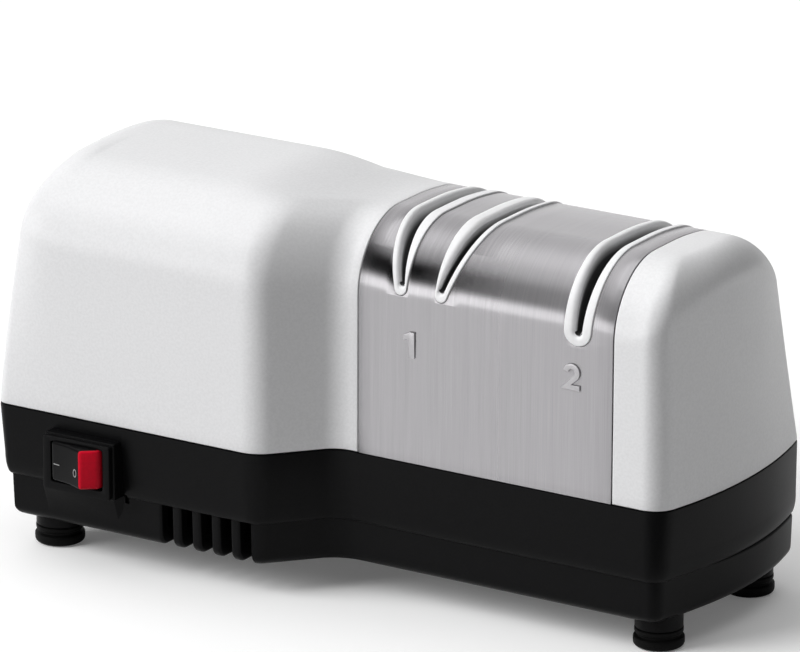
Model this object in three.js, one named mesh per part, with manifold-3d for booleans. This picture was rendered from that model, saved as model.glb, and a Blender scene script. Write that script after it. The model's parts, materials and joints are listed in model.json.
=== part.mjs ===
// Electric knife sharpener with a motor-driven first stage and a manual second stage.
// Millimetres, +Z up, standing on z = 0. +X runs from the motor end to the second stage,
// -Y is the front with the switch. The origin is under the middle of the whole part.
import * as THREE from 'three';
import { mergeVertices } from 'three/addons/utils/BufferGeometryUtils.js';
import Module from 'manifold-3d';

// Fits
const clearance = 0.3;
const halfGap = clearance / 2;
const samePoint = 0.0001;
const overrun = 6;
const wall = 2.6;
const smallestFillet = 0.4;
const fullestBendShare = 0.94;

// Plan of the body: the motor section, the plated deck and the end section
const motorSection = 104.2;
const plateLength = 75;
const endSection = 19.2;
const bodyLength = motorSection + plateLength + endSection;
const motorFrontReach = 52.7;
const deckFrontReach = 36.3;
const rearReach = 36.3;
const motorEndRadius = 500;
const deckEndRadius = 127;
const motorCornerRadius = 3.5;
const deckCornerRadius = 7;
const jogInset = 25.1;
const jogStation = motorSection - jogInset;
const jogAngle = 48;
const jogOuterRadius = 9.5;
const jogInnerRadius = 12;

// Heights of the body above what it stands on
const baseBottom = 9.6;
const floorThickness = 2.2;
const stepHeight = 20.2;
const seamHeight = 39.8;
const trayTop = seamHeight - halfGap;
const housingBottom = seamHeight + halfGap;
const motorCrown = 106.6;
const deckCrown = 100.3;
const motorCrownDrop = 4;
const deckCrownDrop = 0.5;

// Insets of the base tray's bands from the seam's outline, and its edge roundings
const bandDraft = 1;
const bandEdge = 2.7;
const stepInset = 2.9;
const lowerInset = 3.2;
const skirtInset = 7;
const bottomEdge = 3.3;

// Rounding and lean of the upper housing's walls, lean in degrees
const motorFrontBend = 20;
const deckFrontBend = 17.6;
const motorRearBend = 39;
const deckRearBend = 18;
const motorEndBend = 15;
const deckEndBend = 12;
const frontLean = 0.4;
const rearLean = 13.5;
const motorEndLean = 4.5;
const deckEndLean = 1.6;
const cornerSquareness = 3;
const motorSpineInset = 23;
const deckSpineInset = 15;
const motorSpineOffset = 12.5;
const deckSpineOffset = 1;
const crownFallInset = 37.2;

// Number of straight steps in the outline's and the walls' curves, finer outside than inside
const bendSteps = 5;
const crownSteps = 2;
const endSteps = 2;
const cornerSteps = 3;
const jogSteps = 3;
const shoulderSteps = 3;
const motorSideSteps = 2;
const deckSideSteps = 3;
const innerBendSteps = 2;
const innerCrownSteps = 1;
const innerCornerSteps = 2;
const innerJogSteps = 2;
const innerShoulderSteps = 1;
const innerDeckSideSteps = 1;
const outerSteps = {
  bend: bendSteps, crown: crownSteps, end: endSteps, corner: cornerSteps, jog: jogSteps,
  shoulder: shoulderSteps, motorSide: motorSideSteps, deckSide: deckSideSteps,
};
const baseSteps = { ...outerSteps, shoulder: 1, motorSide: 1, deckSide: 1 };
const innerSteps = {
  bend: innerBendSteps, crown: innerCrownSteps, end: endSteps, corner: innerCornerSteps, jog: innerJogSteps,
  shoulder: innerShoulderSteps, motorSide: motorSideSteps, deckSide: innerDeckSideSteps,
};

// Steel cover plate
const plateThickness = 0.8;

// Seam tongue and the posts and towers that the case screws clamp
const tongueThickness = 1.2;
const tongueHeight = 2.5;
const tongueDepth = 5;
const postDrop = 2;
const postRadius = 4.6;
const screwRadius = 1.7;
const screwHeadRadius = 3.3;
const screwHeadHeight = 1.4;
const screwBite = 12;

// Feet
const footRadius = 6.6;
const footHeight = 4.9;
const footEdge = 1;
const footGroove = 0.9;
const footFlange = 2.7;
const footNeckRadius = 6.2;
const motorFootStation = 13.3;
const motorFootOffset = 39.6;
const rearFootOffset = 23.1;
const deckFootInset = 12.6;
const deckFootOffset = 23.1;
const deckScrewInset = 21.8;
const deckScrewOffset = 25;

// Rocker switch
const switchStation = 29.7;
const switchHeight = 27.5;
const bezelWidth = 20.8;
const bezelHeight = 14.6;
const bezelThickness = 1.6;
const switchBossDepth = 2.6;
const switchBossMargin = 0.4;
const switchPadMargin = 2.4;
const switchBodyWidth = 18.8;
const switchBodyHeight = 12.4;
const switchBodyDepth = 14;
const rockerWidth = 15.2;
const rockerHeight = 10.6;
const rockerRidgeOffset = 4.3;
const rockerRidgeHeight = 4.8;
const rockerDip = 0.6;
const rockerShoulder = 1.2;
const rockerDepth = 1.6;
const rockerPivotDepth = 2.4;
const rockerTiltAngle = 15;
const rockerPinRadius = 1.3;
const rockerPocketSpace = 1.5;
const terminalWidth = 4.6;
const terminalThickness = 0.8;
const terminalLength = 7;
const terminalPitch = 6.4;
const terminalCount = 2;

// Cooling slots in the lower band
const ventStation = 52.5;
const ventPitch = 6.04;
const ventWidth = 3.1;
const ventDepth = 9;
const ventCount = Math.floor((jogStation - ventStation) / ventPitch) + 1;

// Cord inlet in the rear wall
const glandStation = 40;
const glandHeight = 28.5;
const glandFlangeRadius = 7.4;
const glandFlangeThickness = 1.2;
const glandBodyRadius = 5.6;
const glandBoreRadius = 3.8;
const glandPadDepth = 0.6;
const glandNutThickness = 2.4;

// Clean-out door under the first stage
const hatchWidth = 15;
const hatchWall = 1.6;
const hatchWallHeight = 4.4;
const doorMargin = 5;
const doorThickness = 2.4;
const doorRail = 2;
const doorLip = 1.6;
const doorGripHeight = 1.2;
const doorGripPitch = 2.6;
const doorGripCount = 4;
const doorTravel = 18;

// Shaft line
const shaftHeightShare = 0.6;
const shaftRadius = 3;
const shaftStub = 2.4;
const bushWall = 1.4;
const bushLength = 7;
const bushFlange = 1.4;

// Motor
const motorPlaceShare = 0.5;
const stackLength = 26;
const rotorRadius = 12;
const airGap = 0.5;
const stackHalfWidth = 24;
const stackAboveShaft = 17.5;
const legThickness = 6;
const coreYoke = 4;
const windowTop = rotorRadius + airGap + coreYoke;
const windowHalfWidth = 15.5;
const coilThickness = 4;
const coilHalfLength = 12.5;
const bobbinWall = 0.9;
const bobbinFlange = 1.6;
const boltOffset = 18.6;
const boltRadius = 1.9;
const boltHeadRadius = 3.6;
const boltHeadHeight = 2.6;
const bracketBossWall = 2;
const bracketRise = 11;
const bracketThickness = 3;
const bracketHeight = 15;
const bracketFoot = 9.4;
const coilFloorGap = 1.2;
const cradleWidth = 9;
const endRingLength = 2.5;
const endRingRadius = 10.4;

// Fan
const fanGap = 4.7;
const fanRadius = 21;
const fanHubRadius = 7;
const fanLength = 9;
const fanBladeThickness = 1.3;
const fanBladeCount = 7;
const fanBladeAngle = 38;

// Wall between the motor and the first stage
const baffleInset = 5.6;
const baffleThickness = 2.2;

// First stage: two slots over a pair of sprung conical disks
const stageOneInset = 18.5;
const slotInnerEdge = 4.2;
const slotTipDrop = 16.3;
const slotTip = deckCrown - slotTipDrop;
const slotTipWidth = 3.6;
const slotLeanAngle = 18.5;
const slotFloorDrop = 12.9;
const slotFloor = deckCrown - slotFloorDrop;
const mouthInner = 6.7;
const mouthOuter = 11.7;
const floorInner = 4.75;
const floorOuter = 6.8;
const wellFront = 25;
const wellRear = 11;
const rimProud = 0.35;
const diskTopGap = 4;
const diskThickness = 1.8;
const diskRimOffset = 4.6;
const diskSlopeAngle = 17;
const hubRadius = 6.5;
const hubInner = 4.4;
const hubStand = 0.58;
const diskTravel = 1.5;
const pinRadius = 1;
const notchHold = 0.4;
const notchDepth = clearance + pinRadius + diskTravel + notchHold;
const pinHalfLength = 5.8;
const springRadius = 4.9;
const springWire = 0.55;
const springTurns = 4;
const springSteps = 8;
const outboardInset = 18.8;
const outboardThickness = 6;
const outboardHead = 9;
const outboardFootWidth = 34;
const outboardFootThickness = 3.4;

// Second stage: a slot over two interleaved sets of finishing wheels
const stageTwoInset = 10.3;
const slotTwoHalfWidth = 4;
const slotTwoTipDrop = 20.7;
const slotTwoTip = deckCrown - slotTwoTipDrop;
const slotTwoSpread = 0.9;
const slotTwoFloorDrop = 16.3;
const slotTwoFloor = deckCrown - slotTwoFloorDrop;
const slotTwoFloorHalf = 1.25;
const slotTwoMouthHalf = 2.75;
const wheelRadius = 7;
const wheelThickness = 2.2;
const wheelPitch = 5.4;
const wheelCount = 3;
const wheelAxleOffset = 5.2;
const wheelAxleDrop = 14;
const wheelAxleHeight = slotTwoFloor - wheelAxleDrop;
const wheelHubRadius = 2.6;
const wheelAxleRadius = 1.2;
const carrierPlate = 2;
const carrierMargin = 2.4;
const carrierLegWidth = 12;

// Dust magnet on the floor under the disks
const magnetLength = 22;
const magnetWidth = 7;
const magnetThickness = 3;
const magnetOffset = 17;

const wasm = await Module();
wasm.setup();

const along = (station) => station - halfLength;
const radians = THREE.MathUtils.degToRad;
const rise = (angle) => Math.tan(radians(angle));
const blend = THREE.MathUtils.lerp;

const halfLength = bodyLength / 2;
const floorTop = baseBottom + floorThickness;
const bodyTop = Math.max(motorCrown, deckCrown);

const spineLeft = -halfLength + motorSpineInset;
const spineRight = halfLength - deckSpineInset;
const plateLeft = along(motorSection);
const plateRight = plateLeft + plateLength;
const stageOneX = plateLeft + stageOneInset;
const stageTwoX = plateRight - stageTwoInset;

// The shaft line stands between the floor and the slots, and the disks reach up to the slots
const shaftHeight = blend(floorTop, slotTip, shaftHeightShare);
const diskRadius = slotTip - diskTopGap - shaftHeight;

// The cone's outer face meets the hub here, and the hub stands a little proud of it
const outerAtHub = diskRimOffset + (diskRadius - hubRadius) * rise(diskSlopeAngle);
const hubOuter = outerAtHub + hubStand;

// Motor frame: its leg reaches down to the cradle, which leaves room for the coil
const cradleTop = floorTop + coilFloorGap + coilThickness + clearance;
const legTop = shaftHeight - cradleTop - clearance - legThickness;

// Motor, brackets and fan share out what room the motor section leaves
const bearingReach = stackLength / 2 + clearance + bracketRise + bracketThickness;
const shaftEnd = bearingReach + clearance + bushFlange + shaftStub;
const fanOffset = bearingReach + clearance + bushFlange + fanGap + fanLength / 2;
const motorRoom = motorSection - shaftEnd - fanOffset - fanLength / 2;
const stackX = along(motorRoom * motorPlaceShare + shaftEnd);
const fanX = stackX + fanOffset;
const outboardX = stageOneX + outboardInset;
const shaftLeft = stackX - shaftEnd;
const shaftRight = outboardX + outboardThickness + clearance + bushFlange + shaftStub;
const pinOffset = hubOuter - notchDepth + clearance + pinRadius;

// Room behind the rocker, whose end swings in as it tilts
const rockerSwing = rockerWidth / 2 * Math.sin(radians(rockerTiltAngle));
const rockerPocketDepth = rockerPivotDepth + rockerSwing + rockerDepth + rockerPocketSpace;

// Finishing wheels' hub and axle, as half lengths
const wheelHubHalf = wheelPitch * (wheelCount - 0.5) / 2 + wheelThickness;
const wheelAxleHalf = wheelHubHalf + clearance + carrierPlate;

// Turns a closed geometry into a solid whose faces point out
function solidOf(geometry, matrix) {
  const bare = geometry.clone();
  bare.deleteAttribute('normal');
  bare.deleteAttribute('uv');
  if (matrix) bare.applyMatrix4(matrix);
  const merged = mergeVertices(bare, samePoint);
  const position = merged.getAttribute('position');
  const points = [];
  for (let i = 0; i < position.count; i++) {
    points.push([position.getX(i), position.getY(i), position.getZ(i)]);
  }
  const triangles = [];
  for (let i = 0; i < merged.index.count; i += 3) {
    triangles.push([merged.index.getX(i), merged.index.getX(i + 1), merged.index.getX(i + 2)]);
  }
  return solidFrom(points, triangles);
}

// Joins equal points, drops triangles without area and makes the solid
function solidFrom(points, triangles) {
  const seen = new Map();
  const kept = [];
  const index = points.map((point) => {
    const key = point.map((value) => Math.round(value / samePoint)).join(',');
    if (!seen.has(key)) {
      seen.set(key, kept.length);
      kept.push(point);
    }
    return seen.get(key);
  });
  let faces = triangles.map((triangle) => triangle.map((corner) => index[corner]));
  faces = faces.filter(([a, b, c]) => a !== b && b !== c && c !== a);
  const vector = (i) => new THREE.Vector3(...kept[i]);
  const volume = faces.reduce((sum, [a, b, c]) => sum + vector(a).dot(vector(b).cross(vector(c))), 0);
  if (volume < 0) faces = faces.map(([a, b, c]) => [a, c, b]);
  const mesh = new wasm.Mesh({
    numProp: 3,
    vertProperties: new Float32Array(kept.flat()),
    triVerts: new Uint32Array(faces.flat()),
  });
  return new wasm.Manifold(mesh);
}

function join(first, ...others) {
  return others.reduce((sum, other) => sum.add(other), first);
}

function cut(first, ...others) {
  return others.reduce((rest, other) => rest.subtract(other), first);
}

function box(x0, x1, y0, y1, z0, z1) {
  const geometry = new THREE.BoxGeometry(x1 - x0, y1 - y0, z1 - z0);
  return solidOf(geometry.translate((x0 + x1) / 2, (y0 + y1) / 2, (z0 + z1) / 2));
}

// The plane that a shape is drawn in, and the direction that it is pushed along
const X = new THREE.Vector3(1, 0, 0);
const Y = new THREE.Vector3(0, 1, 0);
const Z = new THREE.Vector3(0, 0, 1);
const pushFrames = {
  x: (from) => new THREE.Matrix4().makeBasis(Y, Z, X).setPosition(from, 0, 0),
  y: (from, to) => new THREE.Matrix4().makeBasis(X, Z, Y.clone().negate()).setPosition(0, to, 0),
  z: (from) => new THREE.Matrix4().setPosition(0, 0, from),
};

// Pushes a closed shape along an axis, from one place to another
function push(shape, axis, from, to, curveSegments = 4) {
  const geometry = new THREE.ExtrudeGeometry(shape, { depth: to - from, bevelEnabled: false, curveSegments });
  return solidOf(geometry, pushFrames[axis](from, to));
}

function shapeOf(points) {
  return new THREE.Shape(points.map(([a, b]) => new THREE.Vector2(a, b)));
}

const turnFrames = {
  x: new THREE.Matrix4().makeBasis(Y, X, Z.clone().negate()),
  y: new THREE.Matrix4(),
  z: new THREE.Matrix4().makeBasis(X, Z, Y.clone().negate()),
};

// Turns a closed profile of [radius, place along the axis] points round an axis
function turn(profile, axis, at = [0, 0, 0], segments = 24) {
  const points = [...profile, profile[0]].map(([radius, place]) => new THREE.Vector2(radius, place));
  const matrix = new THREE.Matrix4().makeTranslation(...at).multiply(turnFrames[axis]);
  return solidOf(new THREE.LatheGeometry(points, segments), matrix);
}

function rod(radius, axis, from, to, at = [0, 0, 0], segments = 16) {
  return turn([[0, from], [radius, from], [radius, to], [0, to]], axis, at, segments);
}

function tube(outer, inner, axis, from, to, at = [0, 0, 0], segments = 24) {
  return turn([[inner, from], [outer, from], [outer, to], [inner, to]], axis, at, segments);
}

// Plan outline of the body, inset all round, anticlockwise from the middle of the motor end.
// Each point has its share of the end wall: 0 on the long sides, 1 on the end.

function planOutline(inset, steps, twinned = true) {
  const points = [];
  const arc = (cx, cy, radius, start, end, count, startShare, endShare) => {
    for (let i = 0; i <= count; i++) {
      const angle = blend(start, end, i / count);
      const share = blend(startShare, endShare, i / count);
      points.push({ x: cx + radius * Math.cos(angle), y: cy + radius * Math.sin(angle), share });
    }
  };
  const line = (x, y, count, withEnd) => {
    const last = points[points.length - 1];
    for (let i = 1; i < count + (withEnd ? 1 : 0); i++) {
      points.push({ x: blend(last.x, x, i / count), y: blend(last.y, y, i / count), share: 0 });
    }
  };
  const quarter = Math.PI / 2;
  const motorCentre = -halfLength + motorEndRadius;
  const deckCentre = halfLength - deckEndRadius;

  const motorFillet = Math.max(motorCornerRadius - inset, smallestFillet);
  const motorSwing = motorEndRadius - inset - motorFillet;
  const motorReach = motorFrontReach - inset - motorFillet;
  const motorTurn = Math.asin(motorReach / motorSwing);
  const motorCornerX = motorCentre - motorSwing * Math.cos(motorTurn);
  arc(motorCentre, 0, motorEndRadius - inset, 2 * quarter, 2 * quarter + motorTurn, steps.end, 1, 1);
  points.pop();
  arc(motorCornerX, -motorReach, motorFillet, 2 * quarter + motorTurn, 3 * quarter, steps.corner, 1, 0);

  const jog = radians(jogAngle);
  const jogDrop = (jogOuterRadius + jogInnerRadius) * (1 - Math.cos(jog));
  const jogRun = (motorFrontReach - deckFrontReach - jogDrop) / Math.tan(jog);
  const outerX = along(jogStation);
  const innerX = outerX + (jogOuterRadius + jogInnerRadius) * Math.sin(jog) + jogRun;
  const outerY = jogOuterRadius - motorFrontReach;
  const innerY = -deckFrontReach - jogInnerRadius;
  const sideStart = points.length;
  line(spineLeft, -motorFrontReach + inset, steps.shoulder, true);
  line(outerX, -motorFrontReach + inset, steps.motorSide, false);
  arc(outerX, outerY, jogOuterRadius - inset, -quarter, jog - quarter, steps.jog, 0, 0);
  arc(innerX, innerY, jogInnerRadius + inset, quarter + jog, quarter, steps.jog, 0, 0);

  const deckFillet = Math.max(deckCornerRadius - inset, smallestFillet);
  const deckSwing = deckEndRadius - inset - deckFillet;
  const deckReach = deckFrontReach - inset - deckFillet;
  const deckTurn = Math.asin(deckReach / deckSwing);
  const deckCornerX = deckCentre + deckSwing * Math.cos(deckTurn);
  line(spineRight, -deckFrontReach + inset, steps.deckSide, true);
  const side = points.slice(sideStart).reverse();
  arc(deckCornerX, -deckReach, deckFillet, -quarter, -deckTurn, steps.corner, 0, 1);
  points.pop();

  // The rear is straight: its points stand opposite those of the front
  const deckRear = rearReach - inset - deckFillet;
  const deckRearTurn = Math.asin(deckRear / deckSwing);
  const deckRearX = deckCentre + deckSwing * Math.cos(deckRearTurn);
  arc(deckCentre, 0, deckEndRadius - inset, -deckTurn, deckRearTurn, 2 * steps.end, 1, 1);
  points.pop();
  arc(deckRearX, deckRear, deckFillet, deckRearTurn, quarter, steps.corner, 1, 0);
  const rear = twinned ? side : [];
  points.push(...rear.map(({ x }) => ({ x, y: rearReach - inset, share: 0 })));
  const motorRear = rearReach - inset - motorFillet;
  const motorRearTurn = Math.asin(motorRear / motorSwing);
  const motorRearX = motorCentre - motorSwing * Math.cos(motorRearTurn);
  arc(motorRearX, motorRear, motorFillet, quarter, 2 * quarter - motorRearTurn, steps.corner, 0, 1);
  points.pop();
  arc(motorCentre, 0, motorEndRadius - inset, 2 * quarter - motorRearTurn, 2 * quarter, steps.end, 1, 1);
  points.pop();
  return points;
}

// Closed solid through rings of equal length, each listed anticlockwise from below upwards
function loft(rings, closedTop = true) {
  const count = rings[0].length;
  const triangles = [];
  for (let level = 0; level < rings.length - 1; level++) {
    for (let i = 0; i < count; i++) {
      const next = (i + 1) % count;
      const low = level * count;
      const high = low + count;
      triangles.push([low + i, low + next, high + next], [low + i, high + next, high + i]);
    }
  }
  const cap = (ring) => THREE.ShapeUtils.triangulateShape(ring.map(([x, y]) => new THREE.Vector2(x, y)), []);
  for (const [a, b, c] of cap(rings[0])) triangles.push([a, c, b]);
  const top = (rings.length - 1) * count;
  if (closedTop) {
    for (const [a, b, c] of cap(rings[rings.length - 1])) triangles.push([top + a, top + b, top + c]);
  }
  return solidFrom(rings.flat(), triangles);
}

// How far a place lies between the motor section, 0, and the lower deck section, 1
function deckShare(x) {
  return THREE.MathUtils.smoothstep(x, plateLeft - crownFallInset, plateLeft);
}

// Rise of a wall up its lean, round its bend and over the crown to the middle,
// as pairs of how far in it has come, in shares of the depth, and its height

function wallProfile(leanAngle, wantedBend, crown, depth, bottom, steps) {
  const lean = radians(leanAngle);
  const room = (depth - (crown - seamHeight) * Math.tan(lean)) * fullestBendShare;
  const bend = Math.max(Math.min(wantedBend, room), smallestFillet);
  const centreDepth = bend / Math.cos(lean) + (crown - bend - seamHeight) * Math.tan(lean);
  const profile = [[(bottom - seamHeight) * Math.tan(lean), bottom]];
  for (let i = 0; i <= steps.bend; i++) {
    const angle = blend(Math.PI - lean, Math.PI / 2, i / steps.bend);
    profile.push([centreDepth + bend * Math.cos(angle), crown - bend + bend * Math.sin(angle)]);
  }
  for (let i = 1; i <= steps.crown; i++) profile.push([blend(centreDepth, depth, i / steps.crown), crown]);
  return profile.map(([inward, z]) => [inward / depth, z]);
}

// The outside of the upper housing, inset all round, as a closed solid down to a given height.
// Points move in across the body by the side wall's profile and along it by the end wall's.
function housingSolid(inset, bottom, steps = outerSteps) {
  const columns = planOutline(inset, steps).map((point) => {
    const spineX = THREE.MathUtils.clamp(point.x, spineLeft, spineRight);
    const deck = deckShare(spineX);
    const spineY = blend(-motorSpineOffset, deckSpineOffset, deck);
    const crown = blend(motorCrown, deckCrown, deck) - inset;
    const drop = blend(motorCrownDrop, deckCrownDrop, deck);
    const atMotor = point.x < 0;
    const atFront = point.y < spineY;
    const pastSpine = spineX !== point.x;
    const sideReach = atFront ? (atMotor ? motorFrontReach : deckFrontReach) : rearReach;
    const sideY = pastSpine ? (sideReach - inset) * (atFront ? -1 : 1) : point.y;
    const endDepth = (atMotor ? motorSpineInset : deckSpineInset) - inset;
    const sideLean = atFront ? frontLean : rearLean;
    const motorBend = atFront ? motorFrontBend : motorRearBend;
    const deckBend = atFront ? deckFrontBend : deckRearBend;
    const sideBend = blend(motorBend, deckBend, deck);
    const across = wallProfile(sideLean, sideBend - inset, crown, Math.abs(sideY - spineY), bottom, steps);
    const endLean = atMotor ? motorEndLean : deckEndLean;
    const endBend = (atMotor ? motorEndBend : deckEndBend) - inset;
    const lengthways = wallProfile(endLean, endBend, crown, endDepth, bottom, steps);
    const outward = (point.x - spineX) / endDepth;
    const sideways = (point.y - spineY) / (sideY - spineY);
    const squareness = Math.hypot(outward, sideways) === 0 ? 1 : (
      (Math.abs(outward) ** cornerSquareness + sideways ** cornerSquareness) ** (-1 / cornerSquareness)
    );
    return across.map(([acrossShare, sideZ], level) => {
      const [lengthShare, endZ] = lengthways[level];
      const z = blend(sideZ, endZ, point.share);
      const fromSpine = 1 - Math.min(blend(acrossShare, lengthShare, point.share), 1);
      const risen = Math.max((z - housingBottom) / (crown - housingBottom), 0);
      const roundness = pastSpine ? blend(1, Math.min(squareness, 1), risen ** 1.5) : 1;
      return [
        spineX + (point.x - spineX) * (1 - lengthShare) * roundness,
        spineY + (point.y - spineY) * (1 - acrossShare) * roundness,
        z - drop * risen * fromSpine ** 2,
      ];
    });
  });
  const rings = columns[0].map((_, level) => columns.map((column) => column[level]));
  return loft(rings, false);
}

// Closed solid through level outlines, each as [height, inset]
function straightLoft(rings, steps) {
  return loft(rings.map(([z, inset]) => planOutline(inset, steps, false).map(({ x, y }) => [x, y, z])));
}

function planPrism(inset, bottom, top) {
  return straightLoft([[bottom, inset], [top, inset]], innerSteps);
}

function planRing(outerInset, innerInset, bottom, top) {
  return planPrism(outerInset, bottom, top).subtract(planPrism(innerInset, bottom - overrun, top + overrun));
}

// Everything between two places along the body
function slab(x0, x1) {
  return box(x0, x1, -motorFrontReach * 2, motorFrontReach * 2, -overrun, bodyTop + overrun);
}

const feet = [
  ['front_left', along(motorFootStation), -motorFootOffset],
  ['front_right', halfLength - deckFootInset, -deckFootOffset],
  ['rear_left', along(motorFootStation), rearFootOffset],
  ['rear_right', halfLength - deckFootInset, rearFootOffset],
];
const deckScrews = [
  ['front', stageOneX + deckScrewInset, -deckScrewOffset],
  ['rear', stageOneX + deckScrewInset, deckScrewOffset],
];
const postTop = seamHeight - postDrop;
const footTop = footHeight;
const neckBottom = footTop + clearance;

// Base tray: a wide upper band over a stepped-in lower band, each ring as [height, inset]

function baseOutside() {
  const bandRise = seamHeight - stepHeight;
  const rings = [
    [baseBottom, skirtInset],
    [baseBottom + bottomEdge * 0.25, lowerInset + (skirtInset - lowerInset) * 0.3],
    [baseBottom + bottomEdge, lowerInset],
    [stepHeight, stepInset],
    [stepHeight, bandEdge],
    [stepHeight + bandRise * 0.07, bandEdge * 0.62],
    [stepHeight + bandRise * 0.3, bandDraft],
    [trayTop, 0],
  ];
  return straightLoft(rings, baseSteps);
}

function baseInside() {
  const rings = [
    [floorTop, skirtInset + wall / 2],
    [floorTop + bottomEdge / 2, lowerInset + wall],
    [stepHeight + wall / 2, lowerInset + wall],
    [trayTop + overrun, wall],
  ];
  return straightLoft(rings, innerSteps);
}

const switchX = along(switchStation);
const frontWall = -motorFrontReach;
const bezelFront = frontWall - switchBossDepth - clearance - bezelThickness;
const glandX = along(glandStation);
const glandFace = rearReach + glandPadDepth;

function switchBoss() {
  const half = bezelWidth / 2 + switchBossMargin;
  const rearY = frontWall + wall;
  const boss = box(
    switchX - half, switchX + half, frontWall - switchBossDepth, rearY,
    switchHeight - bezelHeight / 2 - switchBossMargin, switchHeight + bezelHeight / 2 + switchBossMargin,
  );
  const pad = box(
    switchX - half - switchPadMargin, switchX + half + switchPadMargin, frontWall + bandDraft, rearY,
    baseBottom + bottomEdge / 2, switchHeight,
  );
  return boss.add(pad.intersect(planPrism(bandDraft, 0, seamHeight)));
}

function switchHole() {
  const x = switchBodyWidth / 2 + clearance;
  const z = switchBodyHeight / 2 + clearance;
  const rearY = frontWall + switchBodyDepth + overrun;
  return box(switchX - x, switchX + x, bezelFront - overrun, rearY, switchHeight - z, switchHeight + z);
}

function ventCuts() {
  return Array.from({ length: ventCount }, (_, i) => {
    const x = along(ventStation) + i * ventPitch;
    return box(x, x + ventWidth, frontWall - overrun, frontWall + ventDepth, -overrun, stepHeight);
  });
}

function cradle() {
  const outer = stackHalfWidth + clearance;
  const inner = outer - cradleWidth;
  return [-1, 1].map((side) => {
    const [near, far] = side < 0 ? [-outer, -inner] : [inner, outer];
    const bottom = floorTop - floorThickness / 2;
    return box(stackX - stackLength / 2, stackX + stackLength / 2, near, far, bottom, cradleTop);
  });
}

function doorRails() {
  const reach = hatchWidth / 2 + doorMargin;
  const length = [stageOneX - reach, stageOneX + reach + doorTravel];
  const bottom = baseBottom - clearance - doorThickness - clearance;
  return [-1, 1].map((side) => {
    const at = (offset) => side * (reach + offset);
    const profile = [
      [at(clearance), baseBottom + floorThickness / 2], [at(clearance), bottom],
      [at(-doorLip), bottom], [at(-doorLip), bottom - doorLip],
      [at(doorRail), bottom - doorLip], [at(doorRail), baseBottom + floorThickness / 2],
    ];
    return push(shapeOf(profile), 'x', ...length);
  });
}

function baseTray() {
  const inside = floorTop - floorThickness / 2;
  const posts = [...feet, ...deckScrews].map(([, x, y]) => (
    rod(postRadius, 'z', inside, postTop, [x, y, 0], 10)
  ));
  const necks = feet.map(([, x, y]) => rod(footNeckRadius, 'z', neckBottom, inside, [x, y, 0], 12));
  const bores = [...feet, ...deckScrews].map(([, x, y]) => (
    rod(screwRadius + 2 * clearance, 'z', -overrun, seamHeight + overrun, [x, y, 0], 12)
  ));
  const sinkTop = baseBottom + screwHeadHeight + clearance;
  const sinks = deckScrews.map(([, x, y]) => (
    rod(screwHeadRadius + 2 * clearance, 'z', -overrun, sinkTop, [x, y, 0], 12)
  ));
  const chute = hatchWidth / 2 + hatchWall;
  const chuteTop = floorTop + hatchWallHeight;
  const chuteWall = box(stageOneX - chute, stageOneX + chute, -chute, chute, inside, chuteTop);
  const half = hatchWidth / 2;
  const hatch = box(stageOneX - half, stageOneX + half, -half, half, -overrun, seamHeight);
  const padRadius = glandFlangeRadius + wall / 2;
  const glandPad = rod(padRadius, 'y', rearReach - wall, glandFace, [glandX, 0, glandHeight]);
  const glandHole = rod(
    glandBodyRadius + clearance, 'y', rearReach - wall * 4, glandFace + overrun, [glandX, 0, glandHeight],
  );
  const shell = cut(baseOutside(), baseInside());
  const tongueOuter = wall + clearance;
  const ledge = planRing(wall / 2, tongueOuter + tongueThickness, seamHeight - tongueDepth, trayTop);
  const tongue = planRing(tongueOuter, tongueOuter + tongueThickness, postTop, seamHeight + tongueHeight);
  const solid = join(
    shell, ledge, tongue, switchBoss(), glandPad, chuteWall, ...posts, ...necks, ...cradle(), ...doorRails(),
  );
  return cut(solid, switchHole(), glandHole, hatch, ...ventCuts(), ...bores, ...sinks);
}

// Towers inside the upper housing that the case screws bite into
function towers(places) {
  return places.map(([, x, y]) => (
    cut(
      rod(postRadius, 'z', postTop + clearance, bodyTop, [x, y, 0], 10),
      rod(screwRadius + clearance, 'z', 0, postTop + screwBite + 2 * clearance, [x, y, 0], 12),
    ).intersect(housingSolid(wall / 2, postTop, innerSteps))
  ));
}

// Hollow upper housing with a rebate for the base's tongue
function upperShell(inset) {
  const hollow = housingSolid(wall, housingBottom - overrun, innerSteps);
  const shell = cut(housingSolid(inset, housingBottom), hollow);
  const tongueInner = wall + 2 * clearance + tongueThickness;
  return shell.subtract(planRing(wall, tongueInner, postTop, seamHeight + tongueHeight + clearance));
}

function motorHousing() {
  const solid = join(upperShell(0), ...towers(feet.filter(([, x]) => x < 0)));
  return solid.intersect(slab(-bodyLength, plateLeft - halfGap));
}

function endCover() {
  const solid = join(upperShell(0), ...towers(feet.filter(([, x]) => x > 0)));
  return solid.intersect(slab(plateRight + halfGap, bodyLength));
}

// Rim of a first-stage slot seen from the front, on the right of the stage's middle
function stageOneRim(margin) {
  const tipRadius = slotTipWidth / 2;
  const top = deckCrown + overrun;
  const tipX = slotInnerEdge + tipRadius;
  const lean = radians(slotLeanAngle);
  const shape = new THREE.Shape();
  shape.moveTo(slotInnerEdge - margin, top);
  shape.lineTo(slotInnerEdge - margin, slotTip + tipRadius);
  shape.absarc(tipX, slotTip + tipRadius, tipRadius + margin, Math.PI, 2 * Math.PI - lean, false);
  const start = slotTip + tipRadius;
  shape.lineTo(tipX + (tipRadius + margin) / Math.cos(lean) + (top - start) * Math.tan(lean), top);
  return shape;
}

function stageOneGap() {
  const extra = overrun / (deckCrown - slotFloor);
  const top = deckCrown + overrun;
  return shapeOf([
    [floorInner, slotFloor], [floorOuter, slotFloor],
    [mouthOuter + (mouthOuter - floorOuter) * extra, top],
    [mouthInner + (mouthInner - floorInner) * extra, top],
  ]);
}

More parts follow.
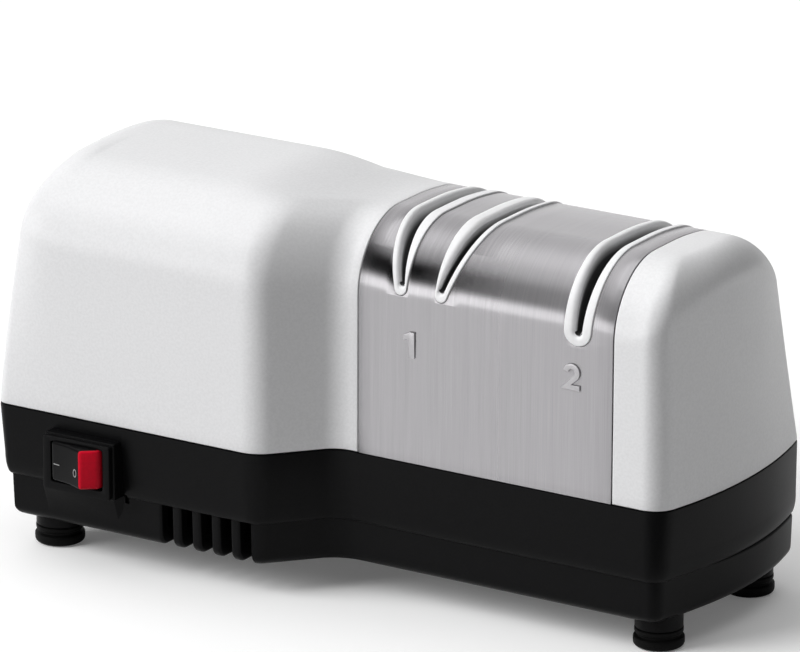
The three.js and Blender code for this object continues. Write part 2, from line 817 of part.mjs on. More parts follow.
function stageTwoRim(margin) {
  const top = deckCrown + overrun;
  const shape = new THREE.Shape();
  const radius = slotTwoHalfWidth + margin;
  shape.moveTo(-radius, top);
  shape.lineTo(-radius, slotTwoTip + slotTwoHalfWidth);
  shape.absarc(0, slotTwoTip + slotTwoHalfWidth, radius, Math.PI, 2 * Math.PI, false);
  shape.lineTo(radius + slotTwoSpread, top);
  return shape;
}

function stageTwoGap() {
  const slope = (slotTwoMouthHalf - slotTwoFloorHalf) / (deckCrown - slotTwoFloor);
  const top = slotTwoMouthHalf + slope * overrun;
  return shapeOf([
    [-slotTwoFloorHalf, slotTwoFloor], [slotTwoFloorHalf, slotTwoFloor],
    [top, deckCrown + overrun], [-top, deckCrown + overrun],
  ]);
}

function mirrored(solid) {
  return solid.mirror([1, 0, 0]);
}

// The three slots as solids that run from front to rear over the deck
function slotSolids(oneShape, twoShape) {
  const reach = deckFrontReach * 1.5;
  const one = push(oneShape, 'y', -reach, reach);
  const two = push(twoShape, 'y', -reach, reach, 6);
  return [
    one.translate([stageOneX, 0, 0]),
    mirrored(one).translate([stageOneX, 0, 0]),
    two.translate([stageTwoX, 0, 0]),
  ];
}

// Where the blade goes down below the slots' floors to the disks and the wheels
function wells() {
  const one = box(
    floorInner + clearance / 2, floorOuter, -wellFront, wellRear,
    slotTip - overrun, slotFloor + overrun / 2,
  );
  const two = box(
    -slotTwoFloorHalf, slotTwoFloorHalf, -wellFront, wellRear,
    slotTwoTip - overrun, slotTwoFloor + overrun / 2,
  );
  return [
    one.translate([stageOneX, 0, 0]),
    mirrored(one).translate([stageOneX, 0, 0]),
    two.translate([stageTwoX, 0, 0]),
  ];
}

function slotDeck() {
  const inset = plateThickness + clearance;
  const shell = upperShell(inset);
  const rims = slotSolids(stageOneRim(0), stageTwoRim(0)).map((rim) => (
    rim.intersect(housingSolid(-rimProud, housingBottom))
  ));
  const solid = join(shell, ...rims, ...towers(deckScrews));
  const length = slab(plateLeft + halfGap, plateRight - halfGap);
  return cut(solid.intersect(length), ...slotSolids(stageOneGap(), stageTwoGap()), ...wells());
}

function coverPlate() {
  const outside = housingSolid(0, housingBottom);
  const shell = cut(outside, housingSolid(plateThickness, housingBottom - overrun));
  const windows = slotSolids(stageOneRim(clearance), stageTwoRim(clearance));
  return cut(shell.intersect(slab(plateLeft + halfGap, plateRight - halfGap)), ...windows);
}

// Rubber foot with a recess for the head of the case screw
function foot() {
  const head = screwHeadRadius + clearance;
  const hole = screwRadius + clearance;
  const recess = screwHeadHeight + 2 * clearance;
  return turn([
    [head, 0], [footRadius - footEdge, 0], [footRadius, footEdge], [footRadius, footFlange],
    [footRadius - footGroove, footFlange + footGroove / 2],
    [footRadius - footGroove, footFlange + footGroove],
    [footNeckRadius, footTop], [hole, footTop], [hole, recess + clearance], [head, recess + clearance],
  ], 'z', [0, 0, 0], 12);
}

function caseScrew(headTop, tip) {
  return turn([
    [0, headTop - screwHeadHeight], [screwHeadRadius, headTop - screwHeadHeight],
    [screwHeadRadius, headTop], [screwRadius, headTop], [screwRadius, tip - screwRadius], [0, tip],
  ], 'z', [0, 0, 0], 10);
}

// Switch housing: bezel, body behind it, and the pocket that the rocker swings in
function switchHousing() {
  const depth = bezelFront + bezelThickness + clearance + switchBodyDepth;
  const bezel = box(
    -bezelWidth / 2, bezelWidth / 2, 0, bezelThickness, -bezelHeight / 2, bezelHeight / 2,
  );
  const body = box(
    -switchBodyWidth / 2, switchBodyWidth / 2, bezelThickness / 2, depth - bezelFront,
    -switchBodyHeight / 2, switchBodyHeight / 2,
  );
  const pocketX = rockerWidth / 2 + 2 * clearance;
  const pocketZ = rockerHeight / 2 + clearance;
  const pocket = box(-pocketX, pocketX, -overrun, rockerPocketDepth, -pocketZ, pocketZ);
  const pinReach = pocketZ + rockerPinRadius;
  const pinHoles = rod(rockerPinRadius + clearance, 'z', -pinReach, pinReach, [0, rockerPivotDepth, 0]);
  return cut(join(bezel, body), pocket, pinHoles);
}

// Rocker seen from above, round its pivot, with a dip between its two ridges
function rocker() {
  const half = rockerWidth / 2;
  const profile = [
    [-half, rockerDepth], [-half, -rockerShoulder], [-rockerRidgeOffset, -rockerRidgeHeight],
    [0, rockerDip - rockerRidgeHeight], [rockerRidgeOffset, -rockerRidgeHeight],
    [half, -rockerShoulder], [half, rockerDepth],
  ];
  const body = push(shapeOf(profile), 'z', -rockerHeight / 2, rockerHeight / 2);
  const pinReach = switchBodyHeight / 2;
  return body.add(rod(rockerPinRadius, 'z', -pinReach, pinReach));
}

function terminal() {
  const start = bezelThickness + clearance + switchBodyDepth + clearance;
  const hole = rod(terminalWidth / 5, 'x', -overrun, overrun, [0, start + terminalLength * 0.7, 0], 10);
  const blade = box(
    -terminalThickness / 2, terminalThickness / 2, start, start + terminalLength,
    -terminalWidth / 2, terminalWidth / 2,
  );
  return blade.subtract(hole);
}

function cordGland() {
  const flange = glandFace + clearance;
  const innerFace = rearReach - wall - lowerInset;
  return turn([
    [glandBoreRadius, flange + glandFlangeThickness], [glandBoreRadius, innerFace - glandNutThickness],
    [glandBodyRadius, innerFace - glandNutThickness], [glandBodyRadius, flange],
    [glandFlangeRadius, flange], [glandFlangeRadius, flange + glandFlangeThickness * 0.5],
    [glandFlangeRadius - glandFlangeThickness * 0.5, flange + glandFlangeThickness],
  ], 'y', [glandX, 0, glandHeight], 16);
}

// Door with a row of finger ridges, sliding in the two rails under the base
function cleanOutDoor() {
  const half = hatchWidth / 2 + doorMargin;
  const top = baseBottom - clearance;
  const plate = box(-half, half, -half, half, top - doorThickness, top);
  const gripReach = half - doorLip - 2 * clearance;
  const ridges = Array.from({ length: doorGripCount }, (_, i) => {
    const x = half - doorGripPitch * (i + 1);
    const low = top - doorThickness - doorGripHeight;
    const profile = [
      [x - doorGripHeight / 2, top - doorThickness / 2], [x - doorGripHeight / 4, low],
      [x + doorGripHeight / 4, low], [x + doorGripHeight / 2, top - doorThickness / 2],
    ];
    return push(shapeOf(profile), 'y', -gripReach, gripReach);
  });
  return join(plate, ...ridges);
}

// Laminated stack round the rotor, with a window for the coil and a leg below it
function statorStack() {
  const bottom = -legTop - legThickness;
  const corner = legThickness / 2;
  const shape = shapeOf([
    [-stackHalfWidth, bottom], [stackHalfWidth, bottom], [stackHalfWidth, stackAboveShaft - corner],
    [stackHalfWidth - corner, stackAboveShaft], [corner - stackHalfWidth, stackAboveShaft],
    [-stackHalfWidth, stackAboveShaft - corner],
  ]);
  const bore = new THREE.Path();
  bore.absarc(0, 0, rotorRadius + airGap, 0, 2 * Math.PI, true);
  const window = new THREE.Path([
    [-windowHalfWidth, -windowTop], [-windowHalfWidth, -legTop], [windowHalfWidth, -legTop],
    [windowHalfWidth, -windowTop],
  ].map(([y, z]) => new THREE.Vector2(y, z)));
  shape.holes.push(bore, window);
  for (const side of [-1, 1]) {
    const hole = new THREE.Path();
    hole.absarc(side * boltOffset, 0, boltRadius + clearance, 0, 2 * Math.PI, true);
    shape.holes.push(hole);
  }
  return push(shape, 'x', -stackLength / 2, stackLength / 2, 12);
}

// Rectangular sleeve round the stack's leg, centred on it
function sleeve(halfLengthY, thicknessIn, thicknessOut) {
  const outer = (y, reach) => {
    const x = stackLength / 2 + reach;
    const z = legThickness / 2 + reach;
    return box(-x, x, -y, y, -z, z);
  };
  return outer(halfLengthY, thicknessOut).subtract(outer(halfLengthY + overrun, thicknessIn));
}

function coilBobbin() {
  const tubePart = sleeve(coilHalfLength, clearance, clearance + bobbinWall);
  const flange = sleeve(bobbinFlange / 2, clearance, coilThickness + clearance);
  const place = coilHalfLength - bobbinFlange / 2;
  return join(tubePart, flange.translate([0, place, 0]), flange.translate([0, -place, 0]));
}

function fieldCoil() {
  const start = 2 * clearance + bobbinWall;
  return sleeve(coilHalfLength - bobbinFlange - clearance, start, coilThickness);
}

// Bridge over the rotor that holds a bush, seen from above, with its feet on the stack
function bearingBracket() {
  const reach = boltOffset + bracketFoot / 2;
  const footInner = boltOffset - bracketFoot / 2;
  const outer = bracketRise + bracketThickness;
  const shoulder = footInner - bracketRise * 0.4;
  const half = [
    [0, outer], [shoulder, outer], [footInner + clearance, bracketThickness], [reach, bracketThickness],
    [reach, 0], [footInner - bracketThickness / 2, 0],
    [shoulder - bracketThickness / 2, bracketRise], [0, bracketRise],
  ];
  const rightSide = half.map(([y, x]) => [x, y]);
  const leftSide = half.map(([y, x]) => [x, -y]).reverse();
  const outline = shapeOf([...rightSide, ...leftSide.slice(1, -1)]);
  const strap = push(outline, 'z', -bracketHeight / 2, bracketHeight / 2);
  const bossRadius = shaftRadius + 2 * clearance + bushWall + bracketBossWall;
  const boss = rod(bossRadius, 'x', bracketRise - bushLength / 3, outer, [0, 0, 0], 14);
  const bore = rod(shaftRadius + 2 * clearance + bushWall, 'x', 0, outer + overrun, [0, 0, 0], 14);
  const holes = [-1, 1].map((side) => (
    rod(boltRadius + clearance, 'x', -overrun, bracketRise, [0, side * boltOffset, 0], 12)
  ));
  return cut(join(strap, boss), bore, ...holes);
}

// Bronze bush with a flange at its outer end
function bush(length) {
  const outer = shaftRadius + clearance + bushWall;
  return turn([
    [shaftRadius + clearance, -length], [outer, -length], [outer, clearance],
    [outer + bushFlange, clearance], [outer + bushFlange, clearance + bushFlange],
    [shaftRadius + clearance, clearance + bushFlange],
  ], 'x', [0, 0, 0], 14);
}

function statorBolt() {
  const half = stackLength / 2 + bracketThickness + 2 * clearance;
  return turn([
    [0, -half - boltHeadHeight], [boltHeadRadius, -half - boltHeadHeight], [boltHeadRadius, -half],
    [boltRadius, -half], [boltRadius, half], [boltHeadRadius, half], [boltHeadRadius, half + boltHeadHeight],
    [0, half + boltHeadHeight],
  ], 'x', [0, 0, 0], 12);
}

function motorShaft() {
  const tip = shaftRadius * 0.2;
  const body = turn([
    [0, shaftLeft], [shaftRadius - tip, shaftLeft], [shaftRadius, shaftLeft + tip],
    [shaftRadius, shaftRight - tip], [shaftRadius - tip, shaftRight], [0, shaftRight],
  ], 'x', [0, 0, 0], 20);
  const holes = [-1, 1].map((side) => (
    rod(pinRadius + clearance, 'z', -overrun, overrun, [stageOneX + side * pinOffset, 0, 0], 12)
  ));
  return cut(body, ...holes);
}

function rotorCore() {
  const bore = shaftRadius + clearance;
  const half = stackLength / 2;
  return turn([
    [bore, -half - endRingLength], [endRingRadius, -half - endRingLength], [endRingRadius, -half],
    [rotorRadius, -half], [rotorRadius, half], [endRingRadius, half], [endRingRadius, half + endRingLength],
    [bore, half + endRingLength],
  ], 'x', [0, 0, 0], 20);
}

// Fan with flat blades set at an angle to its axis
function coolingFan() {
  const bore = shaftRadius + clearance;
  const hub = tube(fanHubRadius, bore, 'x', -fanLength / 2, fanLength / 2, [0, 0, 0], 16);
  const shroud = tube(fanHubRadius * 1.6, bore, 'x', -fanLength / 2, -fanLength / 4, [0, 0, 0], 16);
  const blades = Array.from({ length: fanBladeCount }, (_, i) => {
    const length = fanLength / Math.cos(radians(fanBladeAngle)) * 0.8;
    const blade = box(
      -length / 2, length / 2, -fanBladeThickness / 2, fanBladeThickness / 2, fanHubRadius * 0.7, fanRadius,
    );
    return blade.rotate([0, 0, fanBladeAngle]).rotate([360 * i / fanBladeCount, 0, 0]);
  });
  const wide = fanRadius * 2;
  const reach = box(-fanLength / 2, fanLength / 2, -wide, wide, -wide, wide);
  return join(hub, shroud, ...blades).intersect(reach);
}

function retainingRing() {
  const grip = shaftRadius + clearance;
  return tube(grip + bushFlange, grip, 'x', 0, bushFlange / 2, [0, 0, 0], 16);
}

// Conical abrasive disk on its hub, abrasive side towards +X, with a notch for the drive pin
function abrasiveDisk() {
  const bore = shaftRadius + clearance;
  const disk = turn([
    [bore, hubInner], [hubRadius, hubInner], [hubRadius, outerAtHub - diskThickness],
    [diskRadius, diskRimOffset - diskThickness], [diskRadius, diskRimOffset], [hubRadius, outerAtHub],
    [hubRadius, hubOuter], [bore, hubOuter],
  ], 'x', [0, 0, 0], 26);
  const notchHalf = pinRadius + clearance;
  const notch = box(
    hubOuter - notchDepth, hubOuter + overrun, -notchHalf, notchHalf,
    -hubRadius - clearance, hubRadius + clearance,
  );
  return disk.subtract(notch);
}

class Helix extends THREE.Curve {
  getPoint(t) {
    const angle = t * springTurns * 2 * Math.PI;
    const length = 2 * (hubInner - clearance - springWire);
    const [y, z] = [springRadius * Math.cos(angle), springRadius * Math.sin(angle)];
    return new THREE.Vector3((t - 0.5) * length, y, z);
  }
}

function diskSpring() {
  const section = new THREE.Shape();
  section.absarc(0, 0, springWire, 0, 2 * Math.PI, false);
  const geometry = new THREE.ExtrudeGeometry(section, {
    steps: springTurns * springSteps, extrudePath: new Helix(), bevelEnabled: false, curveSegments: 3,
  });
  return solidOf(geometry);
}

// Outboard bearing stand: foot on the floor, tapering web, round head with a bore
function outboardStand() {
  const bottom = floorTop + clearance;
  const footTopZ = bottom + outboardFootThickness;
  const shape = shapeOf([
    [-outboardFootWidth / 2, bottom], [outboardFootWidth / 2, bottom], [outboardFootWidth / 2, footTopZ],
    [outboardHead * 1.3, footTopZ + outboardFootThickness], [outboardHead, shaftHeight],
    [outboardHead * 0.7, shaftHeight + outboardHead * 0.7], [0, shaftHeight + outboardHead],
    [-outboardHead * 0.7, shaftHeight + outboardHead * 0.7], [-outboardHead, shaftHeight],
    [-outboardHead * 1.3, footTopZ + outboardFootThickness], [-outboardFootWidth / 2, footTopZ],
  ]);
  const web = push(shape, 'x', 0, outboardThickness);
  const radius = shaftRadius + 2 * clearance + bushWall;
  const bore = rod(radius, 'x', -overrun, outboardThickness + overrun, [0, 0, shaftHeight]);
  return web.subtract(bore);
}

function baffle() {
  const x = plateLeft - baffleInset;
  const space = housingSolid(wall + clearance, seamHeight, innerSteps)
    .add(planPrism(lowerInset + wall + clearance, floorTop + bottomEdge / 2, seamHeight + tongueHeight));
  const bottom = floorTop + bottomEdge / 2 + clearance;
  const upper = space.intersect(box(
    x, x + baffleThickness, -motorFrontReach, motorFrontReach, bottom, bodyTop,
  ));
  const keepClear = planRing(
    0, wall + 2 * clearance + tongueThickness,
    seamHeight - tongueDepth - clearance, seamHeight + tongueHeight + clearance,
  );
  const foot = box(
    x, x + baffleThickness, -deckFrontReach / 2, deckFrontReach / 2, floorTop + clearance, seamHeight,
  );
  const hole = rod(shaftRadius * 2, 'x', x - overrun, x + baffleThickness + overrun, [0, 0, shaftHeight]);
  return cut(join(upper, foot), keepClear, hole);
}

// Finishing wheels fused to their hub, with the first wheel's place along it
function wheelSet(firstPlace) {
  const bore = wheelAxleRadius + clearance;
  const half = wheelHubHalf;
  const profile = [[bore, -half], [wheelHubRadius, -half]];
  for (let i = 0; i < wheelCount; i++) {
    const place = firstPlace + i * wheelPitch;
    const edge = wheelThickness / 4;
    profile.push(
      [wheelHubRadius, place - wheelThickness / 2], [wheelRadius, place - edge],
      [wheelRadius, place + edge], [wheelHubRadius, place + wheelThickness / 2],
    );
  }
  profile.push([wheelHubRadius, half], [bore, half]);
  return turn(profile, 'y', [0, 0, 0], 12);
}

// Frame that holds the two wheel axles, on a leg that stands on the floor
function wheelCarrier() {
  const halfX = wheelAxleOffset + wheelAxleRadius + carrierMargin;
  const inner = wheelHubHalf + clearance;
  const outer = inner + carrierPlate;
  const bottom = wheelAxleHeight - wheelRadius - carrierMargin;
  const top = slotTwoTip - clearance;
  const frame = box(-halfX, halfX, -outer, outer, bottom - carrierPlate, top);
  const window = box(-halfX - overrun, halfX + overrun, -inner, inner, bottom, top + overrun);
  const leg = box(
    -carrierLegWidth / 2, carrierLegWidth / 2, -carrierLegWidth / 2, carrierLegWidth / 2,
    floorTop + clearance, bottom - carrierPlate / 2,
  );
  const shoe = box(
    -carrierLegWidth * 0.8, carrierLegWidth * 0.8, -carrierLegWidth, carrierLegWidth,
    floorTop + clearance, floorTop + clearance + carrierPlate,
  );
  const holes = [-1, 1].map((side) => rod(
    wheelAxleRadius + clearance, 'y', -outer - overrun, outer + overrun,
    [side * wheelAxleOffset, 0, wheelAxleHeight], 12,
  ));
  const guide = slotTwoFloorHalf * 2;
  const notch = box(
    -guide, guide, -outer - overrun, outer + overrun,
    wheelAxleHeight + wheelRadius / 2, top + overrun,
  );
  return cut(join(cut(frame, window), leg, shoe), ...holes, notch);
}

function wheelAxle() {
  return rod(wheelAxleRadius, 'y', -wheelAxleHalf, wheelAxleHalf, [0, 0, 0], 12);
}

const material = (color, roughness, metalness) => (
  new THREE.MeshStandardMaterial({ color, roughness, metalness })
);
const finishes = {
  silverPaint: material(0xdcdcde, 0.35, 0.15),
  rimPlastic: material(0xe4e4e6, 0.45, 0),
  brushedSteel: material(0xa9a7ab, 0.3, 1),
  blackPlastic: material(0x1b1b1d, 0.5, 0),
  blackRubber: material(0x0d0d0e, 0.85, 0),
  redPlastic: material(0xb01020, 0.35, 0),
  zinc: material(0xb4b6b8, 0.45, 0.9),
  lamination: material(0x55585c, 0.55, 0.8),
  copper: material(0xb5673a, 0.35, 0.9),
  bronze: material(0xa8763e, 0.5, 0.8),
  steel: material(0xc3c6c9, 0.25, 1),
  abrasive: material(0x8f9192, 0.9, 0.4),
  nylon: material(0xe8e4d8, 0.6, 0),
  ferrite: material(0x3a3836, 0.7, 0.3),
};

function geometryOf(solid) {
  const mesh = solid.getMesh();
  const geometry = new THREE.BufferGeometry();
  const points = mesh.numProp === 3 ? mesh.vertProperties : mesh.vertProperties.slice();
  geometry.setAttribute('position', new THREE.BufferAttribute(new Float32Array(points), 3));
  geometry.setIndex(new THREE.BufferAttribute(new Uint32Array(mesh.triVerts), 1));
  geometry.computeVertexNormals();
  return geometry;
}

function piece(parent, name, solid, finish, position = [0, 0, 0]) {
  const mesh = new THREE.Mesh(geometryOf(solid), finishes[finish]);
  mesh.name = name;
  mesh.position.set(...position);
  parent.add(mesh);
  return mesh;
}

function group(parent, position = [0, 0, 0]) {
  const made = new THREE.Group();
  made.position.set(...position);
  parent.add(made);
  return made;
}

const assembly = new THREE.Group();

function addCasing() {
  const casing = group(assembly);
  piece(casing, 'base_tray', baseTray(), 'blackPlastic');
  piece(casing, 'motor_housing', motorHousing(), 'silverPaint');
  piece(casing, 'slot_deck', slotDeck(), 'rimPlastic');
  piece(casing, 'end_cover', endCover(), 'silverPaint');
  piece(casing, 'cover_plate', coverPlate(), 'brushedSteel');
  piece(casing, 'chamber_baffle', baffle(), 'blackPlastic');
  piece(casing, 'cord_gland', cordGland(), 'blackRubber');
  const headTop = screwHeadHeight + clearance;
  const tip = postTop + screwBite;
  for (const [name, x, y] of feet) {
    piece(casing, `foot_${name}`, foot(), 'blackRubber', [x, y, 0]);
    piece(casing, `case_screw_${name}`, caseScrew(headTop, tip), 'steel', [x, y, 0]);
  }
  for (const [name, x, y] of deckScrews) {
    piece(casing, `deck_screw_${name}`, caseScrew(baseBottom + screwHeadHeight, tip), 'steel', [x, y, 0]);
  }
  const door = group(casing, [stageOneX, 0, 0]);
  piece(door, 'clean_out_door', cleanOutDoor(), 'blackPlastic');
  const magnet = box(
    -magnetLength / 2, magnetLength / 2, -magnetWidth / 2, magnetWidth / 2, 0, magnetThickness,
  );
  piece(casing, 'dust_magnet', magnet, 'ferrite', [stageOneX, magnetOffset, floorTop + clearance]);
}

function addSwitch() {
  const unit = group(assembly, [switchX, bezelFront, switchHeight]);
  piece(unit, 'switch_housing', switchHousing(), 'blackPlastic');
  for (let i = 0; i < terminalCount; i++) {
    const x = (i - (terminalCount - 1) / 2) * terminalPitch;
    piece(unit, `switch_terminal_${i + 1}`, terminal(), 'steel', [x, 0, 0]);
  }
  const pivot = group(unit, [0, rockerPivotDepth, 0]);
  pivot.rotation.z = -radians(rockerTiltAngle);
  piece(pivot, 'rocker', rocker(), 'redPlastic');
}

function addMotor() {
  const line = group(assembly, [0, 0, shaftHeight]);
  const stator = group(line, [stackX, 0, 0]);
  piece(stator, 'stator_stack', statorStack(), 'lamination');
  const leg = group(stator, [0, 0, -legTop - legThickness / 2]);
  piece(leg, 'coil_bobbin', coilBobbin(), 'nylon');
  piece(leg, 'field_coil', fieldCoil(), 'copper');
  for (const [name, side] of [['left', -1], ['right', 1]]) {
    const end = group(stator, [side * (stackLength / 2 + clearance), 0, 0]);
    end.rotation.z = side < 0 ? Math.PI : 0;
    piece(end, `bearing_bracket_${name}`, bearingBracket(), 'zinc');
    piece(end, `bearing_bush_${name}`, bush(bushLength), 'bronze', [bracketRise + bracketThickness, 0, 0]);
  }
  piece(stator, 'stator_bolt_front', statorBolt(), 'steel', [0, -boltOffset, 0]);
  piece(stator, 'stator_bolt_rear', statorBolt(), 'steel', [0, boltOffset, 0]);

  const rotor = group(line);
  piece(rotor, 'motor_shaft', motorShaft(), 'steel');
  piece(rotor, 'rotor_core', rotorCore(), 'lamination', [stackX, 0, 0]);
  piece(rotor, 'cooling_fan', coolingFan(), 'nylon', [fanX, 0, 0]);
  piece(rotor, 'retaining_ring', retainingRing(), 'steel', [shaftRight - shaftStub + clearance, 0, 0]);
  for (const [name, side] of [['left', -1], ['right', 1]]) {
    const pin = rod(pinRadius, 'z', -pinHalfLength, pinHalfLength, [0, 0, 0], 12);
    piece(rotor, `drive_pin_${name}`, pin, 'steel', [stageOneX + side * pinOffset, 0, 0]);
    const disk = group(rotor, [stageOneX, 0, 0]);
    disk.rotation.z = side < 0 ? Math.PI : 0;
    piece(disk, `abrasive_disk_${name}`, abrasiveDisk(), 'abrasive');
  }
  piece(rotor, 'disk_spring', diskSpring(), 'steel', [stageOneX, 0, 0]);
}

function addStands() {
  const stand = group(assembly, [outboardX, 0, 0]);
  piece(stand, 'outboard_stand', outboardStand(), 'zinc');
  const bushPlace = [outboardThickness, 0, shaftHeight];
  piece(stand, 'outboard_bush', bush(outboardThickness), 'bronze', bushPlace);

  const stage = group(assembly, [stageTwoX, 0, 0]);
  piece(stage, 'wheel_carrier', wheelCarrier(), 'nylon');
  const first = -wheelPitch * (wheelCount - 0.5) / 2;
  for (const [name, side] of [['left', -1], ['right', 1]]) {
    const place = [side * wheelAxleOffset, 0, wheelAxleHeight];
    const axle = group(stage, place);
    piece(axle, `wheel_axle_${name}`, wheelAxle(), 'steel');
    piece(axle, `finishing_wheels_${name}`, wheelSet(side < 0 ? first : first + wheelPitch / 2), 'abrasive');
  }
}

addCasing();
addSwitch();
addMotor();
addStands();

// The origin goes under the middle of everything
const reach = new THREE.Box3().setFromObject(assembly, true);
const middle = reach.getCenter(new THREE.Vector3());
assembly.position.set(-middle.x, -middle.y, -reach.min.z);

const part = new THREE.Group();
part.add(assembly);

export default part;
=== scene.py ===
"""An electric knife sharpener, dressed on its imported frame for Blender.

Sizes are in millimetres: x from the middle of the body, y from the motor
shaft, z from the ground. The front faces -y and the motor's end is at -x.
"""
import json
import math

import bmesh
import bpy
import numpy as np
from mathutils import Matrix, Vector

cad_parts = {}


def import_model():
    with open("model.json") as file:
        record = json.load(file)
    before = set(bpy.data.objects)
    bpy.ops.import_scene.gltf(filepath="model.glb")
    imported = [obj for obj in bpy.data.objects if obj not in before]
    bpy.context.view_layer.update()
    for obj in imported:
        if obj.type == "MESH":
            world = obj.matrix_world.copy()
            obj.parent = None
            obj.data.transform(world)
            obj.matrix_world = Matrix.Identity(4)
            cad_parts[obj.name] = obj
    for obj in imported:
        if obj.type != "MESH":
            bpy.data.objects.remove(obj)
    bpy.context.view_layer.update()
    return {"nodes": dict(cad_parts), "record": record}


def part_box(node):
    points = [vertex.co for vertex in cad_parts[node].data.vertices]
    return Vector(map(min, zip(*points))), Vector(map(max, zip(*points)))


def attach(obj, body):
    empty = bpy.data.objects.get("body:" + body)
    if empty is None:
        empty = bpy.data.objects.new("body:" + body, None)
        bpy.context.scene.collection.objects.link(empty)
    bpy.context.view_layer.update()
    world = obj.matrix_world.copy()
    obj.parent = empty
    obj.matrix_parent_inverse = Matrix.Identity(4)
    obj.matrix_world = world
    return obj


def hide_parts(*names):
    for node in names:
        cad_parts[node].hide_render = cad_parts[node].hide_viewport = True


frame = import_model()
nodes = frame["nodes"]
scene = bpy.context.scene

# The shaft's place in the frame, in metres
low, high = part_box("motor_shaft")
AXIS_Y = (low[1] + high[1]) / 2

CLEARANCE = 0.3
HALF_GAP = 0.15
WALL = 2.6
PLATE = 0.8

# Outline at the seam, with the S step between the motor's front and the deck's
HALF_LENGTH = 99.2
FRONT_MOTOR = 52.7
FRONT_DECK = 36.3
REAR = 36.3
MOTOR_END_RADIUS = 500
DECK_END_RADIUS = 127
MOTOR_CORNER = 3.5
DECK_CORNER = 7
LEAST_RADIUS = 0.4
JOG_X = -20.1
JOG_ANGLE = math.radians(48)
JOG_OUTER = 9.5
JOG_INNER = 8.5

# Heights
BASE_BOTTOM = 8.4
FLOOR_TOP = 11.8
STEP = 20.2
SEAM = 39.8
TRAY_TOP = SEAM - HALF_GAP
HOUSING_BOTTOM = SEAM + HALF_GAP
MOTOR_CROWN = 106.6
DECK_CROWN = 101.4

# Housing walls: each pair is at the motor and at the deck
SPINE_Y = (-12.5, -8.0)
FRONT_BEND = (20.0, 19.5)
REAR_BEND = (39.0, 18.0)
FRONT_LEAN = math.radians(0.4)
REAR_LEAN = math.radians(13.5)
END_DEPTH = (23.0, 15.0)
END_BEND = (15.0, 8.5)
END_LEAN = (math.radians(4.5), math.radians(1.6))
END_POWER = (3.0, 5.0)
CROWN_FALL = (4.0, 0.5)
REAR_FALL = 9.5
SPINE_LEFT = -HALF_LENGTH + END_DEPTH[0]
SPINE_RIGHT = HALF_LENGTH - END_DEPTH[1]
FALL_X = -32.2
STEPS = {"wall": 14, "bend": 30, "crown": 26}

# Cover plate and the middles of the two stages
PLATE_LEFT = 5.0
PLATE_RIGHT = 80.0
STAGE_ONE = 23.5
STAGE_TWO = 69.7

# Base details
SWITCH_X = -69.5
SWITCH_Z = 28.2
BEZEL_X = -68.25
PIVOT_Y = -54.8
ROCKER_TILT = math.radians(-15)
ROCKER_HALF = 5.3
GLAND = (-59.2, 28.5)
VENTS = [-46.7 + 6.04 * i for i in range(5)]
VENT_WIDTH = 3.1
FEET = {
    "foot_front_left": (-85.9, -39.6),
    "foot_front_right": (86.6, -23.1),
    "foot_rear_left": (-85.9, 23.1),
    "foot_rear_right": (86.6, 23.1),
}


# Meshes


def world(points):
    """Metres in the frame, from points in millimetres."""
    p = np.asarray(points, float).reshape(-1, 3) / 1000
    p[:, 1] += AXIS_Y
    return p


def join_doubles(mesh, distance):
    bm = bmesh.new()
    bm.from_mesh(mesh)
    bmesh.ops.remove_doubles(bm, verts=bm.verts, dist=distance / 1000)
    bm.to_mesh(mesh)
    bm.free()


def made(name, points, faces, merge=0.0):
    """A linked mesh object from points and faces."""
    mesh = bpy.data.meshes.new(name)
    mesh.from_pydata(world(points).tolist(), [], [list(f) for f in faces])
    if merge:
        join_doubles(mesh, merge)
    mesh.validate()
    obj = bpy.data.objects.new(name, mesh)
    scene.collection.objects.link(obj)
    return obj


def face_out(obj):
    bm = bmesh.new()
    bm.from_mesh(obj.data)
    bmesh.ops.recalc_face_normals(bm, faces=bm.faces)
    bm.to_mesh(obj.data)
    bm.free()
    return obj


def settle(obj):
    """Applies the object's modifiers to its mesh."""
    bpy.context.view_layer.update()
    graph = bpy.context.evaluated_depsgraph_get()
    mesh = bpy.data.meshes.new_from_object(obj.evaluated_get(graph), depsgraph=graph)
    obj.modifiers.clear()
    obj.data = mesh
    return obj


def smooth(obj, angle=30):
    obj.data.shade_smooth()
    obj.data.set_sharp_from_angle(angle=math.radians(angle))
    return obj


def bevel(obj, width, segments=3, angle=40):
    m = obj.modifiers.new("edges", "BEVEL")
    m.width = width / 1000
    m.segments = segments
    m.limit_method = "ANGLE"
    m.angle_limit = math.radians(angle)
    m.use_clamp_overlap = True
    return settle(obj)


def boolean(obj, others, operation="DIFFERENCE"):
    """Cuts the others away from an object or joins them to it, and removes them."""
    for other in others:
        m = obj.modifiers.new("cut", "BOOLEAN")
        m.operation = operation
        m.object = other
        m.solver = "MANIFOLD"
    settle(obj)
    for other in others:
        bpy.data.objects.remove(other, do_unlink=True)
    return obj


def strips(levels, columns, closed, offset=0, flip=False):
    """Quads between the rows of a grid of points, row by row."""
    faces = []
    for i in range(levels - 1):
        for j in range(columns if closed else columns - 1):
            k = (j + 1) % columns
            a, b = offset + i * columns + j, offset + i * columns + k
            c, d = offset + (i + 1) * columns + k, offset + (i + 1) * columns + j
            faces.append((d, c, b, a) if flip else (a, b, c, d))
    return faces


def stacked(name, rings):
    """A solid from rings of equal counts, closed by a cap at each end."""
    n = len(rings[0])
    points = np.concatenate([np.asarray(r, float) for r in rings])
    faces = strips(len(rings), n, True)
    faces.append(tuple(reversed(range(n))))
    faces.append(tuple(range((len(rings) - 1) * n, len(rings) * n)))
    return face_out(made(name, points, faces))


